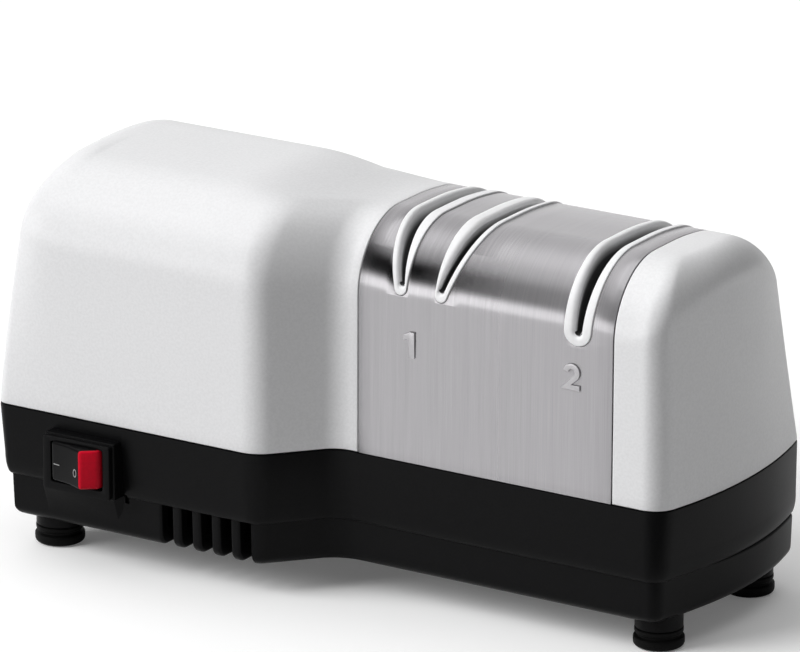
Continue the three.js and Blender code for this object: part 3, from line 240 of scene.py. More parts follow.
def block(name, x0, x1, y0, y1, z0, z1):
    ring = [(x0, y0), (x1, y0), (x1, y1), (x0, y1)]
    return stacked(name, [[(x, y, z) for x, y in ring] for z in (z0, z1)])


def circle(centre, radius, height, axis, steps):
    """Points round an axis along z or y, whose centre is (x, y) or (x, z)."""
    ring = []
    for i in range(steps):
        t = 2 * math.pi * i / steps
        u, v = centre[0] + radius * math.cos(t), centre[1] + radius * math.sin(t)
        ring.append((u, v, height) if axis == "z" else (u, height, v))
    return ring


def cylinder(name, radius, centre, start, end, axis="z", steps=48):
    return stacked(name, [circle(centre, radius, h, axis, steps) for h in (start, end)])


def turned(name, profile, centre, axis="z", steps=64):
    """A ring of revolution from a closed loop of (radius, place along the axis)."""
    points = []
    for radius, height in profile:
        points += circle(centre, radius, height, axis, steps)
    n = len(profile)
    faces = strips(n, steps, True)
    for j in range(steps):
        k = (j + 1) % steps
        faces.append(((n - 1) * steps + j, (n - 1) * steps + k, k, j))
    return smooth(face_out(made(name, points, faces)))


def prism(name, loop, reach=70.0):
    """A solid that runs from front to rear, from a loop of (x, z)."""
    return stacked(name, [[(x, y, z) for x, z in loop] for y in (-reach, reach)])


def rounded_rectangle(half_x, half_z, radius, steps=6):
    loop = []
    for cx, cz, start in ((1, 1, 0), (-1, 1, 90), (-1, -1, 180), (1, -1, 270)):
        for i in range(steps + 1):
            t = math.radians(start + 90 * i / steps)
            x = cx * (half_x - radius) + radius * math.cos(t)
            loop.append((x, cz * (half_z - radius) + radius * math.sin(t)))
    return loop


def smoothstep(value, start, end):
    t = min(max((value - start) / (end - start), 0), 1)
    return t * t * (3 - 2 * t)


def blend(a, b, share):
    return a + (b - a) * share


# The upper housing's outside


def outline(inset):
    """The seam's outline as (x, y), anticlockwise from the middle of the motor's end."""
    points = []

    def arc(cx, cy, radius, start, end, steps, with_end=False):
        for i in range(steps + (1 if with_end else 0)):
            t = blend(start, end, i / steps)
            points.append((cx + radius * math.cos(t), cy + radius * math.sin(t)))

    def side(x, steps, with_end=True):
        x0, y0 = points[-1]
        for i in range(1, steps + (1 if with_end else 0)):
            points.append((blend(x0, x, i / steps), y0))

    def corner(end_radius, wanted, half_depth):
        """Radius of a corner, how far its centre is from the end arc's, and where they meet."""
        radius = max(wanted - inset, LEAST_RADIUS)
        swing = end_radius - inset - radius
        away = half_depth - inset - radius
        turn = math.asin(away / swing)
        return radius, swing * math.cos(turn), away, turn

    q = math.pi / 2
    motor_centre = -HALF_LENGTH + MOTOR_END_RADIUS
    deck_centre = HALF_LENGTH - DECK_END_RADIUS
    radius, along, away, turn = corner(MOTOR_END_RADIUS, MOTOR_CORNER, FRONT_MOTOR)
    arc(motor_centre, 0, MOTOR_END_RADIUS - inset, 2 * q, 2 * q + turn, 22)
    arc(motor_centre - along, -away, radius, 2 * q + turn, 3 * q, 14, True)
    first = len(points)
    side(SPINE_LEFT, 8)
    side(JOG_X, 26, False)
    drop = (JOG_OUTER + JOG_INNER) * (1 - math.cos(JOG_ANGLE))
    run = (FRONT_MOTOR - FRONT_DECK - drop) / math.tan(JOG_ANGLE)
    inner_x = JOG_X + (JOG_OUTER + JOG_INNER) * math.sin(JOG_ANGLE) + run
    inner_y = -FRONT_DECK - JOG_INNER
    inner_radius = JOG_INNER + inset
    arc(JOG_X, JOG_OUTER - FRONT_MOTOR, JOG_OUTER - inset, -q, JOG_ANGLE - q, 14, True)
    side_x, side_y = points[-1]
    next_x = inner_x + inner_radius * math.cos(q + JOG_ANGLE)
    next_y = inner_y + inner_radius * math.sin(q + JOG_ANGLE)
    for i in range(1, 6):
        points.append((blend(side_x, next_x, i / 6), blend(side_y, next_y, i / 6)))
    arc(inner_x, inner_y, inner_radius, q + JOG_ANGLE, q, 14, True)
    y = -FRONT_DECK + inset
    points += [(PLATE_LEFT - HALF_GAP, y), (PLATE_LEFT + HALF_GAP, y)]
    side(PLATE_RIGHT - HALF_GAP, 10)
    points.append((PLATE_RIGHT + HALF_GAP, y))
    side(SPINE_RIGHT, 4)
    fronts = points[first:]
    radius, along, away, turn = corner(DECK_END_RADIUS, DECK_CORNER, FRONT_DECK)
    arc(deck_centre + along, -away, radius, -q, -turn, 20)
    radius, along, away, rear_turn = corner(DECK_END_RADIUS, DECK_CORNER, REAR)
    arc(deck_centre, 0, DECK_END_RADIUS - inset, -turn, rear_turn, 44)
    arc(deck_centre + along, away, radius, rear_turn, q, 20, True)
    points += [(x, REAR - inset) for x, _ in reversed(fronts)]
    radius, along, away, turn = corner(MOTOR_END_RADIUS, MOTOR_CORNER, REAR)
    arc(motor_centre - along, away, radius, q, 2 * q - turn, 14)
    arc(motor_centre, 0, MOTOR_END_RADIUS - inset, 2 * q - turn, 2 * q, 22)
    return points


def wall_profile(lean, wanted, crown, depth, steps):
    """(inward share, height) from the foot of a wall over its bend to the spine."""
    room = (depth - (crown - SEAM) * math.tan(lean)) * 0.94
    radius = max(min(wanted, room), LEAST_RADIUS)
    centre = radius / math.cos(lean) + (crown - radius - SEAM) * math.tan(lean)
    foot = ((HOUSING_BOTTOM - SEAM) * math.tan(lean), HOUSING_BOTTOM)
    bend = []
    for i in range(steps["bend"] + 1):
        t = blend(math.pi - lean, math.pi / 2, i / steps["bend"])
        bend.append((centre + radius * math.cos(t), crown - radius + radius * math.sin(t)))
    rows = []
    for i in range(steps["wall"]):
        share = i / steps["wall"]
        rows.append((blend(foot[0], bend[0][0], share), blend(foot[1], bend[0][1], share)))
    rows += bend
    for i in range(1, steps["crown"] + 1):
        rows.append((blend(centre, depth, i / steps["crown"]), crown))
    return [(inward / depth, z) for inward, z in rows]


def column(point, inset, steps=STEPS):
    """The housing's surface from one point of its outline up to the spine."""
    x, y = point
    spine_x = min(max(x, SPINE_LEFT), SPINE_RIGHT)
    deck = smoothstep(spine_x, FALL_X, PLATE_LEFT)
    spine_y = blend(*SPINE_Y, deck)
    crown = blend(MOTOR_CROWN, DECK_CROWN, deck) - inset
    end = 0 if x < 0 else 1
    at_front = y < spine_y
    past = spine_x != x
    reach = (FRONT_DECK if end else FRONT_MOTOR) if at_front else REAR
    side_y = (reach - inset) * (-1 if at_front else 1) if past else y
    side_bend = blend(*(FRONT_BEND if at_front else REAR_BEND), deck)
    side_lean = FRONT_LEAN if at_front else REAR_LEAN
    across = wall_profile(side_lean, side_bend - inset, crown, abs(side_y - spine_y), steps)
    end_depth = END_DEPTH[end] - inset
    along = wall_profile(END_LEAN[end], END_BEND[end] - inset, crown, end_depth, steps)
    outward = (x - spine_x) / end_depth
    sideways = (y - spine_y) / (side_y - spine_y)
    # The crown falls towards the walls, most of all over the motor and at the deck's rear
    deck_fall = CROWN_FALL[1] + (0 if at_front else REAR_FALL * sideways**2)
    drop = blend(CROWN_FALL[0], deck_fall, deck)
    # Past the spine's ends the side wall turns into the end wall round the corner
    share = 0.0
    if past:
        share = smoothstep(abs(outward) / (abs(outward) + abs(sideways) + 1e-9), 0.05, 0.95)
    square = 1.0
    if abs(outward) > 1e-9 or abs(sideways) > 1e-9:
        power = END_POWER[end]
        square = (abs(outward) ** power + abs(sideways) ** power) ** (-1 / power)
    rows = []
    for (a, za), (b, zb) in zip(across, along):
        z = blend(za, zb, share)
        from_spine = 1 - min(blend(a, b, share), 1)
        risen = max((z - HOUSING_BOTTOM) / (crown - HOUSING_BOTTOM), 0)
        roundness = blend(1, min(square, 1), risen**1.5) if past else 1.0
        x_here = spine_x + (x - spine_x) * (1 - b) * roundness
        y_here = spine_y + (y - spine_y) * (1 - a) * roundness
        rows.append((x_here, y_here, z - drop * risen * from_spine**2))
    return rows


def runs(line, test):
    """Unbroken runs of the outline's points whose x passes a test, in cyclic order."""
    keep = [test(x) for x, _ in line]
    start = next(i for i in range(len(line)) if keep[i] and not keep[i - 1])
    found, current = [], []
    for step in range(len(line)):
        i = (start + step) % len(line)
        if keep[i]:
            current.append(i)
        elif current:
            found.append(current)
            current = []
    return found + ([current] if current else [])


def skin(name, test, inset, thickness, edge=0.35):
    """A shell of the housing over the part of its outline that passes a test."""
    outer_line, inner_line = outline(inset), outline(inset + thickness)
    points, faces = [], []
    levels = STEPS["wall"] + STEPS["bend"] + 1 + STEPS["crown"]
    for run in runs(outer_line, test):
        n = len(run)
        outer = [column(outer_line[i], inset) for i in run]
        inner = [column(inner_line[i], inset + thickness) for i in run]
        start = len(points)
        for side in (outer, inner):
            points += np.array(side).transpose(1, 0, 2).reshape(-1, 3).tolist()
        mid = start + levels * n
        faces += strips(levels, n, False, start) + strips(levels, n, False, mid, True)
        for j in range(n - 1):
            faces.append((start + j + 1, start + j, mid + j, mid + j + 1))
        for i in range(levels - 1):
            a, b = start + i * n, mid + i * n
            faces.append((a, a + n, b + n, b))
            a, b = a + n - 1, b + n - 1
            faces.append((a, b, b + n, a + n))
    obj = face_out(made(name, points, faces, merge=0.02))
    if edge:
        bevel(obj, edge, 3, 50)
    return smooth(obj, 35)


# Slots over the deck


class Deck:
    """The deck's surface unrolled: s runs from front to rear and is 0 on the spine."""

    def __init__(self):
        x, steps = (PLATE_LEFT + PLATE_RIGHT) / 2, {"wall": 40, "bend": 120, "crown": 60}
        front = [(y, z) for _, y, z in column((x, -FRONT_DECK), 0.0, steps)]
        rear = [(y, z) for _, y, z in column((x, REAR), 0.0, steps)]
        self.yz = np.array(front + rear[-2::-1])
        step = np.hypot(*np.diff(self.yz, axis=0).T)
        s = np.concatenate([[0], np.cumsum(step)])
        self.mid = int(np.argmax(self.yz[:, 1]))
        self.s = s - s[self.mid]
        d = np.gradient(self.yz, self.s, axis=0)
        d /= np.linalg.norm(d, axis=1)[:, None]
        self.normal = np.stack([-d[:, 1], d[:, 0]], axis=1)

    def at(self, x, s, height=0.0):
        y = np.interp(s, self.s, self.yz[:, 0])
        z = np.interp(s, self.s, self.yz[:, 1])
        ny = np.interp(s, self.s, self.normal[:, 0])
        nz = np.interp(s, self.s, self.normal[:, 1])
        return (x, y + ny * height, z + nz * height)

    def z(self, s):
        return float(np.interp(s, self.s, self.yz[:, 1]))

    def s_of(self, z, front):
        if front:
            return float(np.interp(z, self.yz[: self.mid + 1, 1], self.s[: self.mid + 1]))
        heights, places = self.yz[self.mid :, 1], self.s[self.mid :]
        return float(-np.interp(z, heights[::-1], -places[::-1]))


class Slot:
    """A slot seen from the front: its rim's round tip and sides, and the walls inside.

    x runs from the stage's middle. The left slot of the first stage mirrors the right one.
    """

    def __init__(self, middle, tip, lean, spread, steps, floor, floor_sides, slopes, sign=1):
        self.middle, self.sign = middle, sign
        self.tip_x, self.tip_z, self.radius = tip
        self.lean, self.spread, self.steps = lean, spread, steps
        self.floor, self.floor_sides, self.slopes = floor, floor_sides, slopes
        self.inner_radius = (floor_sides[1] - floor_sides[0]) / 2
        self.inner_x = (floor_sides[1] + floor_sides[0]) / 2
        self.inner_z = floor + self.inner_radius

    def rim(self, side, z):
        """x of the rim's upright side (0) or of the side that leans away (1)."""
        if side == 0:
            return self.tip_x - self.radius
        return self.tip_x + self.radius / math.cos(self.lean) + (z - self.tip_z) * self.spread

    def wall(self, side, z):
        return self.floor_sides[side] + self.slopes[side] * (z - self.inner_z)

    def outline(self, margin, top=DECK_CROWN + 8):
        """The rim's outline, grown by a margin and open at the top."""
        radius = self.radius + margin
        loop = [(self.rim(0, top) - margin, top)]
        for i in range(self.steps + 1):
            t = blend(math.pi, 2 * math.pi - self.lean, i / self.steps)
            loop.append((self.tip_x + radius * math.cos(t), self.tip_z + radius * math.sin(t)))
        loop.append((self.rim(1, top) + margin / math.cos(self.lean), top))
        return [(self.middle + self.sign * x, z) for x, z in loop]


FIRST_LEAN = math.radians(18.5)
FIRST = {
    "tip": (6.0, 85.8, 1.8),
    "lean": FIRST_LEAN,
    "spread": math.tan(FIRST_LEAN),
    "steps": 16,
    "floor": 86.4,
    "floor_sides": (5.1, 6.6),
    "slopes": (2.6 / 12.9, 4.15 / 12.9),
}
FINISHING = {
    "tip": (0.0, 83.6, 4.0),
    "lean": 0.0,
    "spread": 0.9 / 22.7,
    "steps": 24,
    "floor": 82.4,
    "floor_sides": (-0.85, 0.85),
    "slopes": (-1.0 / 18.0, 1.3 / 18.0),
}
SLOTS = {
    "first_left": Slot(STAGE_ONE, sign=-1, **FIRST),
    "first_right": Slot(STAGE_ONE, **FIRST),
    "finishing": Slot(STAGE_TWO, **FINISHING),
}
deck = Deck()

# How far a rim stands over the deck, how its edges are rounded, how deep its skirt and well go
PROUD = 0.35
OUTER_ROUND = 0.3
INNER_ROUND = 1.4
SKIRT = -1.4
WELL = 6.5
WELL_FRONT, WELL_REAR = -25.0, 11.0
WELL_SUNK = 9.0


def rim_stations(slot, legs=46, tips=18):
    """Places round a rim: its outer and inner (x, s), and where the wall under it ends.

    That is a place on the round tip of the inner wall, or else a side (0 or 1).
    """
    found = []

    def leg(side, front, forward):
        low_outside = slot.tip_z
        if side and slot.lean:
            low_outside -= slot.radius * math.sin(slot.lean)
        outer, inner = deck.s_of(low_outside, front), deck.s_of(slot.inner_z, front)
        shares = [i / legs for i in range(legs + 1)]
        for share in shares if forward else shares[::-1]:
            so, si = outer * (1 - share), inner * (1 - share)
            xo, xi = slot.rim(side, deck.z(so)), slot.wall(side, deck.z(si))
            found.append((xo, so, xi, si, None, side))

    def tip(front, forward):
        shares = [i / tips for i in range(1, tips)]
        for share in shares if forward else shares[::-1]:
            t_outer = blend(math.pi, 2 * math.pi - slot.lean, share)
            t_inner = blend(math.pi, 2 * math.pi, share)
            xo = slot.tip_x + slot.radius * math.cos(t_outer)
            zo = slot.tip_z + slot.radius * math.sin(t_outer)
            xi = slot.inner_x + slot.inner_radius * math.cos(t_inner)
            zi = slot.inner_z + slot.inner_radius * math.sin(t_inner)
            found.append((xo, deck.s_of(zo, front), xi, deck.s_of(zi, front), (xi, zi, front), None))

    leg(1, True, True)
    leg(1, False, False)
    tip(False, False)
    leg(0, False, True)
    leg(0, True, False)
    tip(True, True)
    return found


def slot_rim(name, slot):
    """A slot's rim, its walls and its floor, with a well over the disks or the wheels."""
    ends = {front: deck.at(0, deck.s_of(slot.inner_z, front))[1] for front in (True, False)}
    rows, heights = [], []
    for xo, so, xi, si, at_tip, side in rim_stations(slot):
        # Up the skirt, over a small outer and a wide inner rounding, then down the wall
        width = max(math.hypot(xi - xo, si - so), 0.3)
        r1 = min(OUTER_ROUND, width * 0.3)
        r2 = min(INNER_ROUND, width * 0.5)
        profile = [(0, SKIRT), (0, PROUD - r1)]
        for t in np.radians([22, 45, 67, 90]):
            profile.append((r1 - r1 * math.cos(t), PROUD - r1 + r1 * math.sin(t)))
        profile += [(blend(r1, width - r2, share), PROUD) for share in (0.33, 0.66)]
        for t in np.radians([0, 15, 30, 45, 60, 75, 88]):
            profile.append((width - r2 + r2 * math.sin(t), PROUD - r2 + r2 * math.cos(t)))
        row = []
        for u, h in profile:
            share = u / width
            row.append(deck.at(blend(xo, xi, share), blend(so, si, share), h))
        top = row[-1]
        if at_tip:
            bottom = (at_tip[0], ends[at_tip[2]], at_tip[1])
        elif top[2] < slot.inner_z:
            bottom = (top[0], ends[so < 0], top[2])
        else:
            bottom = (slot.wall(side, slot.inner_z), top[1], slot.inner_z)
        row += [tuple(blend(np.array(top), np.array(bottom), share)) for share in (0.1, 0.3, 0.6, 1.0)]
        rows.append(row)
        heights.append([h for _, h in profile])
    n, m = len(rows), len(rows[0])
    points = [p for row in rows for p in row]
    faces = []
    for i in range(n):
        k = (i + 1) % n
        for j in range(m - 1):
            faces.append((i * m + j, k * m + j, k * m + j + 1, i * m + j + 1))

    # Floor between the walls, open at the well
    ys = {ends[True], ends[False], WELL_FRONT, WELL_REAR}
    ys = sorted(ys | set(np.linspace(ends[True], ends[False], 30)))
    well_bottom = slot.floor - WELL
    arc = []
    for i in range(11):
        t = math.pi + math.pi * i / 10
        x = slot.inner_x + slot.inner_radius * math.cos(t)
        arc.append((x, slot.inner_z + slot.inner_radius * math.sin(t)))
    for y0, y1 in zip(ys, ys[1:]):
        start = len(points)
        if WELL_FRONT < (y0 + y1) / 2 < WELL_REAR:
            for x in slot.floor_sides:
                base = len(points)
                points += [(x, y0, slot.inner_z), (x, y1, slot.inner_z)]
                points += [(x, y1, well_bottom), (x, y0, well_bottom)]
                faces.append((base, base + 1, base + 2, base + 3))
        else:
            points += [(x, y, z) for y in (y0, y1) for x, z in arc]
            faces += strips(2, len(arc), False, start)
    for y in (WELL_FRONT, WELL_REAR):
        start = len(points)
        points += [(x, y, z) for x, z in arc] + [(x, y, well_bottom) for x, _ in arc]
        faces += strips(2, len(arc), False, start)
    obj = made(name, [(slot.middle + slot.sign * x, y, z) for x, y, z in points], faces)

    # Depth below the rim's top, for the material's painted shade
    sunk = obj.data.attributes.new("sunk", "FLOAT", "POINT")
    last = len(heights[0]) - 1
    for index in range(len(points)):
        row, j = divmod(index, m)
        if index >= n * m:
            level = WELL_SUNK
        elif j <= last:
            level = 0.0 if j < 2 else max(PROUD - heights[row][j], 0)
        else:
            level = PROUD + math.dist(rows[row][j], rows[row][last])
        sunk.data[index].value = level
    join_doubles(obj.data, 0.01)
    return smooth(face_out(obj), 50)


# Materials


def material(name):
    mat = bpy.data.materials.new(name)
    mat.use_nodes = True
    tree = mat.node_tree
    return mat, tree, tree.nodes["Principled BSDF"]


def noise(tree, scale, stretch=(1, 1, 1), detail=4.0, rough=0.5):
    at = tree.nodes.new("ShaderNodeTexCoord")
    mapping = tree.nodes.new("ShaderNodeMapping")
    mapping.inputs["Scale"].default_value = stretch
    tex = tree.nodes.new("ShaderNodeTexNoise")
    tex.inputs["Scale"].default_value = scale
    tex.inputs["Detail"].default_value = detail
    tex.inputs["Roughness"].default_value = rough
    tree.links.new(at.outputs["Object"], mapping.inputs["Vector"])
    tree.links.new(mapping.outputs["Vector"], tex.inputs["Vector"])
    return tex.outputs["Fac"]


def ramp(tree, source, stops):
    """Colours over a value, each stop a place with a colour or a grey level."""
    node = tree.nodes.new("ShaderNodeValToRGB")
    for i, (place, colour) in enumerate(stops):
        stop = node.color_ramp.elements[i] if i < 2 else node.color_ramp.elements.new(place)
        stop.position = place
        stop.color = (*colour, 1) if isinstance(colour, tuple) else (colour, colour, colour, 1)
    tree.links.new(source, node.inputs["Fac"])
    return node.outputs["Color"]


def mixed(tree, kind, first, second, share=1.0):
    """One colour mixed with another. The second and the share can be a plain level."""
    node = tree.nodes.new("ShaderNodeMixRGB")
    node.blend_type = kind
    tree.links.new(first, node.inputs["Color1"])
    if isinstance(second, float):
        node.inputs["Color2"].default_value = (second, second, second, 1)
    else:
        tree.links.new(second, node.inputs["Color2"])
    if isinstance(share, float):
        node.inputs["Fac"].default_value = share
    else:
        tree.links.new(share, node.inputs["Fac"])
    return node.outputs["Color"]


def calculated(tree, operation, first, second):
    """A sum, product or the like of a value and either another value or a number."""
    node = tree.nodes.new("ShaderNodeMath")
    node.operation = operation
    tree.links.new(first, node.inputs[0])
    if isinstance(second, (int, float)):
        node.inputs[1].default_value = second
    else:
        tree.links.new(second, node.inputs[1])
    return node.outputs[0]


def bump(tree, shader, height, strength, distance):
    node = tree.nodes.new("ShaderNodeBump")
    node.inputs["Strength"].default_value = strength
    node.inputs["Distance"].default_value = distance
    tree.links.new(height, node.inputs["Height"])
    tree.links.new(node.outputs["Normal"], shader.inputs["Normal"])


def around(colour, spread):
    """A darker and a lighter tone of a colour."""
    return tuple(c * (1 - spread) for c in colour), tuple(min(c * (1 + spread), 1) for c in colour)


def finish(
    name,
    colour,
    roughness,
    metallic=0.0,
    spread=0.06,
    grain=900,
    lift=0.05,
    coat=0.0,
    stretch=(1, 1, 1),
    gloss=0.5,
):
    """A plain surface with a little uneven colour, roughness and grain."""
    mat, tree, shader = material(name)
    fac = noise(tree, grain, stretch)
    dark, light = around(colour, spread)
    tree.links.new(ramp(tree, fac, [(0.35, dark), (0.65, light)]), shader.inputs["Base Color"])
    wide = noise(tree, 60, detail=2)
    uneven = ramp(tree, wide, [(0.3, roughness * 0.92), (0.7, min(roughness * 1.08, 1))])
    tree.links.new(uneven, shader.inputs["Roughness"])
    shader.inputs["Metallic"].default_value = metallic
    shader.inputs["Coat Weight"].default_value = coat
    shader.inputs["Coat Roughness"].default_value = 0.22
    shader.inputs["Specular IOR Level"].default_value = gloss
    bump(tree, shader, fac, lift, 0.0001)
    return mat


def brushed(name, colour, roughness):
    """Steel with fine grain that runs up the front and back over the top."""
    mat, tree, shader = material(name)
    fine = noise(tree, 1.0, (5200, 40, 40), detail=3, rough=0.6)
    broad = noise(tree, 1.0, (900, 12, 12), detail=2, rough=0.5)
    grain = mixed(tree, "MIX", fine, broad, 0.25)
    dark, light = around(colour, 0.07)
    tree.links.new(ramp(tree, grain, [(0.38, dark), (0.62, light)]), shader.inputs["Base Color"])
    uneven = ramp(tree, fine, [(0.3, roughness * 0.9), (0.7, roughness * 1.1)])
    tree.links.new(uneven, shader.inputs["Roughness"])
    # Less metallic towards the plate's right edge: a painted reflection change that lightens the dark
    # reflected band there
    place = tree.nodes.new("ShaderNodeTexCoord")
    axes = tree.nodes.new("ShaderNodeSeparateXYZ")
    tree.links.new(place.outputs["Object"], axes.inputs[0])
    decimetres = calculated(tree, "MULTIPLY", axes.outputs["X"], 10)
    painted_reflection_fade = ramp(tree, decimetres, [(0.22, 1.0), (0.5, 0.7), (0.8, 0.58)])
    tree.links.new(painted_reflection_fade, shader.inputs["Metallic"])
    shader.inputs["Anisotropic"].default_value = 0.75
    shader.inputs["Anisotropic Rotation"].default_value = 0.25
    tangent = tree.nodes.new("ShaderNodeTangent")
    tangent.direction_type = "RADIAL"
    tangent.axis = "X"
    tree.links.new(tangent.outputs["Tangent"], shader.inputs["Tangent"])
    bump(tree, shader, fine, 0.08, 0.00004)
    return mat


def paint_slot_shade(mat):
    """The slots' walls grow dark with the depth that their "sunk" attribute gives: partly the dark plastic
    inside the slots, partly painted shade.
    """
    tree = mat.node_tree
    base = tree.nodes["Principled BSDF"].inputs["Base Color"]
    depth = tree.nodes.new("ShaderNodeAttribute")
    depth.attribute_name = "sunk"
    centimetres = calculated(tree, "MULTIPLY", depth.outputs["Fac"], 0.1)
    shade = ramp(tree, centimetres, [(0.1, 1), (0.18, 0.34), (0.27, 0.07)])
    tree.links.new(mixed(tree, "MULTIPLY", base.links[0].from_socket, shade), base)


# Colour, roughness, metallic, spread of colour, grain, lift of the grain, coat
FINISHES = {
    "silver_paint": ((0.79, 0.79, 0.8), 0.4, 0.1, 0.03, 1400, 0.03, 0.25),
    "rim_plastic": ((0.84, 0.84, 0.85), 0.32, 0, 0.02, 900, 0.02, 0.3),
    "black_plastic": ((0.0042, 0.0042, 0.0045), 0.32, 0, 0.15, 1800, 0.1),
    "black_rubber": ((0.0035, 0.0035, 0.0035), 0.5, 0, 0.15, 1500, 0.15),
    "red_plastic": ((0.62, 0.004, 0.022), 0.35, 0, 0.05, 700, 0.02),
    "zinc": ((0.6, 0.61, 0.62), 0.5, 0.9, 0.08, 700, 0.15),
    "lamination": ((0.3, 0.31, 0.33), 0.45, 0.9, 0.12, 800, 0.2, 0, (3, 1, 1)),
    "copper": ((0.62, 0.27, 0.11), 0.35, 0.9, 0.12, 900, 0.2),
    "bronze": ((0.5, 0.31, 0.13), 0.45, 0.9, 0.1, 900, 0.1),
    "steel": ((0.6, 0.61, 0.63), 0.28, 1.0, 0.05, 900, 0.05),
    "abrasive": ((0.34, 0.35, 0.35), 0.6, 0.7, 0.3, 3500, 0.6),
    "nylon": ((0.78, 0.75, 0.68), 0.5, 0, 0.04, 500, 0.05),
    "ferrite": ((0.06, 0.055, 0.055), 0.65, 0.1, 0.15, 900, 0.2),
    "digit": ((0.52, 0.51, 0.525), 0.3, 1.0, 0.04, 1500, 0.04),
    "mark": ((0.36, 0.36, 0.36), 0.5, 0, 0.04, 700, 0.02),
}
GLOSS = {"black_plastic": 0.085, "black_rubber": 0.08, "red_plastic": 0.12}

MATERIALS = {name: finish(name, *values, gloss=GLOSS.get(name, 0.5)) for name, values in FINISHES.items()}
MATERIALS["brushed_steel"] = brushed("brushed_steel", (0.45, 0.44, 0.455), 0.23)
# The rim plastic grows dark with depth in the slots: painted shade, over the dark plastic inside them
paint_slot_shade(MATERIALS["rim_plastic"])

for part in frame["record"]["subparts"]:
    mesh = nodes[part["node"]].data
    mesh.materials.clear()
    mesh.materials.append(MATERIALS[part["material_slot"]])


def dress(obj, slot, body="housing", stands_for=()):
    """Gives a piece its material, its body and the nodes whose place it takes."""
    obj.data.materials.clear()
    obj.data.materials.append(MATERIALS[slot])
    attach(obj, body)
    if stands_for:
        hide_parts(*stands_for)
    return obj


# Upper housing, end cover, cover plate and slots

motor_cover = skin("motor_cover", lambda x: x < PLATE_LEFT, 0.0, WALL)
dress(motor_cover, "silver_paint", stands_for=["motor_housing"])
end_cover = skin("stage_end_cover", lambda x: x > PLATE_RIGHT, 0.0, WALL)
dress(end_cover, "silver_paint", stands_for=["end_cover"])


def over_deck(x):
    return PLATE_LEFT < x < PLATE_RIGHT


plate = skin("steel_plate", over_deck, 0.0, PLATE, edge=0.0)
boolean(plate, [prism(f"window_{name}", slot.outline(CLEARANCE * 0.4)) for name, slot in SLOTS.items()])
bevel(plate, 0.12, 2, 50)
dress(smooth(plate), "brushed_steel", stands_for=["cover_plate"])

under = skin("deck_shell", over_deck, PLATE + CLEARANCE, 1.6, edge=0.0)
boolean(under, [prism(f"opening_{name}", slot.outline(-0.3)) for name, slot in SLOTS.items()])
dress(smooth(under), "rim_plastic", stands_for=["slot_deck"])
for name, slot in SLOTS.items():
    dress(slot_rim(f"slot_rim_{name}", slot), "rim_plastic")


# Base tray

# How much less the right end wall leans in towards the rear, over height
END_HEIGHTS = (STEP - 1, STEP - 0.6, STEP - 0.3, STEP - 0.1, STEP, 26.1, TRAY_TOP)
END_REACH = (2.3, 2.22, 2.0, 1.7, 1.3, 1.0, 0)


def tray_ring(z, inset):
    reach = np.interp(z, END_HEIGHTS, END_REACH)
    ring = []
    for x, y in outline(inset):
        to_end = smoothstep(x, HALF_LENGTH - 26, HALF_LENGTH - 8)
        to_rear = smoothstep(y, -FRONT_DECK + 6, 18)
        ring.append((x + reach * to_end * to_rear, y, z))
    return ring


def quarter_ellipse(z0, inset0, z1, inset1, steps):
    """(height, inset) pairs round a quarter ellipse."""
    rows = []
    for i in range(steps + 1):
        t = math.pi / 2 * i / steps
        rows.append((blend(z0, z1, 1 - math.cos(t)), blend(inset0, inset1, math.sin(t))))
    return rows


def tray_shell():
    profile = quarter_ellipse(BASE_BOTTOM, 6.2, 11.4, 3.2, 8)
    profile += [(STEP - 1, 2.95), (STEP - 0.6, 2.94), (STEP - 0.3, 2.92), (STEP - 0.1, 2.9), (STEP, 2.88)]
    profile += quarter_ellipse(STEP, 2.6, 26.1, 1.0, 12)
    profile += [(TRAY_TOP - 0.5, 0.04), (TRAY_TOP - 0.1, 0.1), (TRAY_TOP, 0.35)]
    profile += [(TRAY_TOP, WALL), (STEP + 1.3, 5.8), (FLOOR_TOP + 1.6, 5.8), (FLOOR_TOP, 8.3)]
    return stacked("base_shell", [tray_ring(z, inset) for z, inset in profile])


def vent_flare(name, x, radius=0.9):
    """Cutter that rounds a vent's edges down the front, round the bottom edge and under the tray."""
    turn = 3
    path = [(-42.9, BASE_BOTTOM, 0, -1), (-46.5, BASE_BOTTOM, 0, -1)]
    for i in range(1, 12):
        t = math.pi / 2 * i / 12
        y, z = -46.5 - turn * math.sin(t), BASE_BOTTOM + turn - turn * math.cos(t)
        path.append((y, z, -math.sin(t), -math.cos(t)))
    path += [(-49.5, BASE_BOTTOM + turn, -1, 0), (-49.8, STEP - 0.1, -1, 0)]
    half = VENT_WIDTH / 2
    side = [(half + radius, 0.6)]
    for t in np.radians([0, 20, 40, 60, 75, 90]):
        side.append((half + radius - radius * math.sin(t), radius * math.cos(t) - radius))
    side.append((half, -radius - 1.1))
    section = side + [(-u, h) for u, h in reversed(side)]
    rings = []
    for y, z, ny, nz in path:
        size = math.hypot(ny, nz)
        rings.append([(x + half + u, y + ny / size * h, z + nz / size * h) for u, h in section])
    return stacked(name, rings)


def rail(side):
    """Rail that the clean-out door slides in, at its front (-1) or its rear (1) edge."""
    section = [(0.3, 10.7), (0.3, 6.6), (-1.6, 6.6), (-1.6, 5.0), (2, 5.0), (2, 10.7)]
    rings = [[(x, side * (12.5 + away), z) for away, z in section] for x in (11.0, 54.0)]
    return bevel(stacked(f"rail_{side}", rings), 0.25, 2)


def switch_boss():
    reach_x, reach_z = 10.8, 7.7
    ends = (BEZEL_X - reach_x, BEZEL_X + reach_x, -55.5, -50.0, SWITCH_Z - reach_z, SWITCH_Z + reach_z)
    return bevel(block("boss", *ends), 0.45, 3)


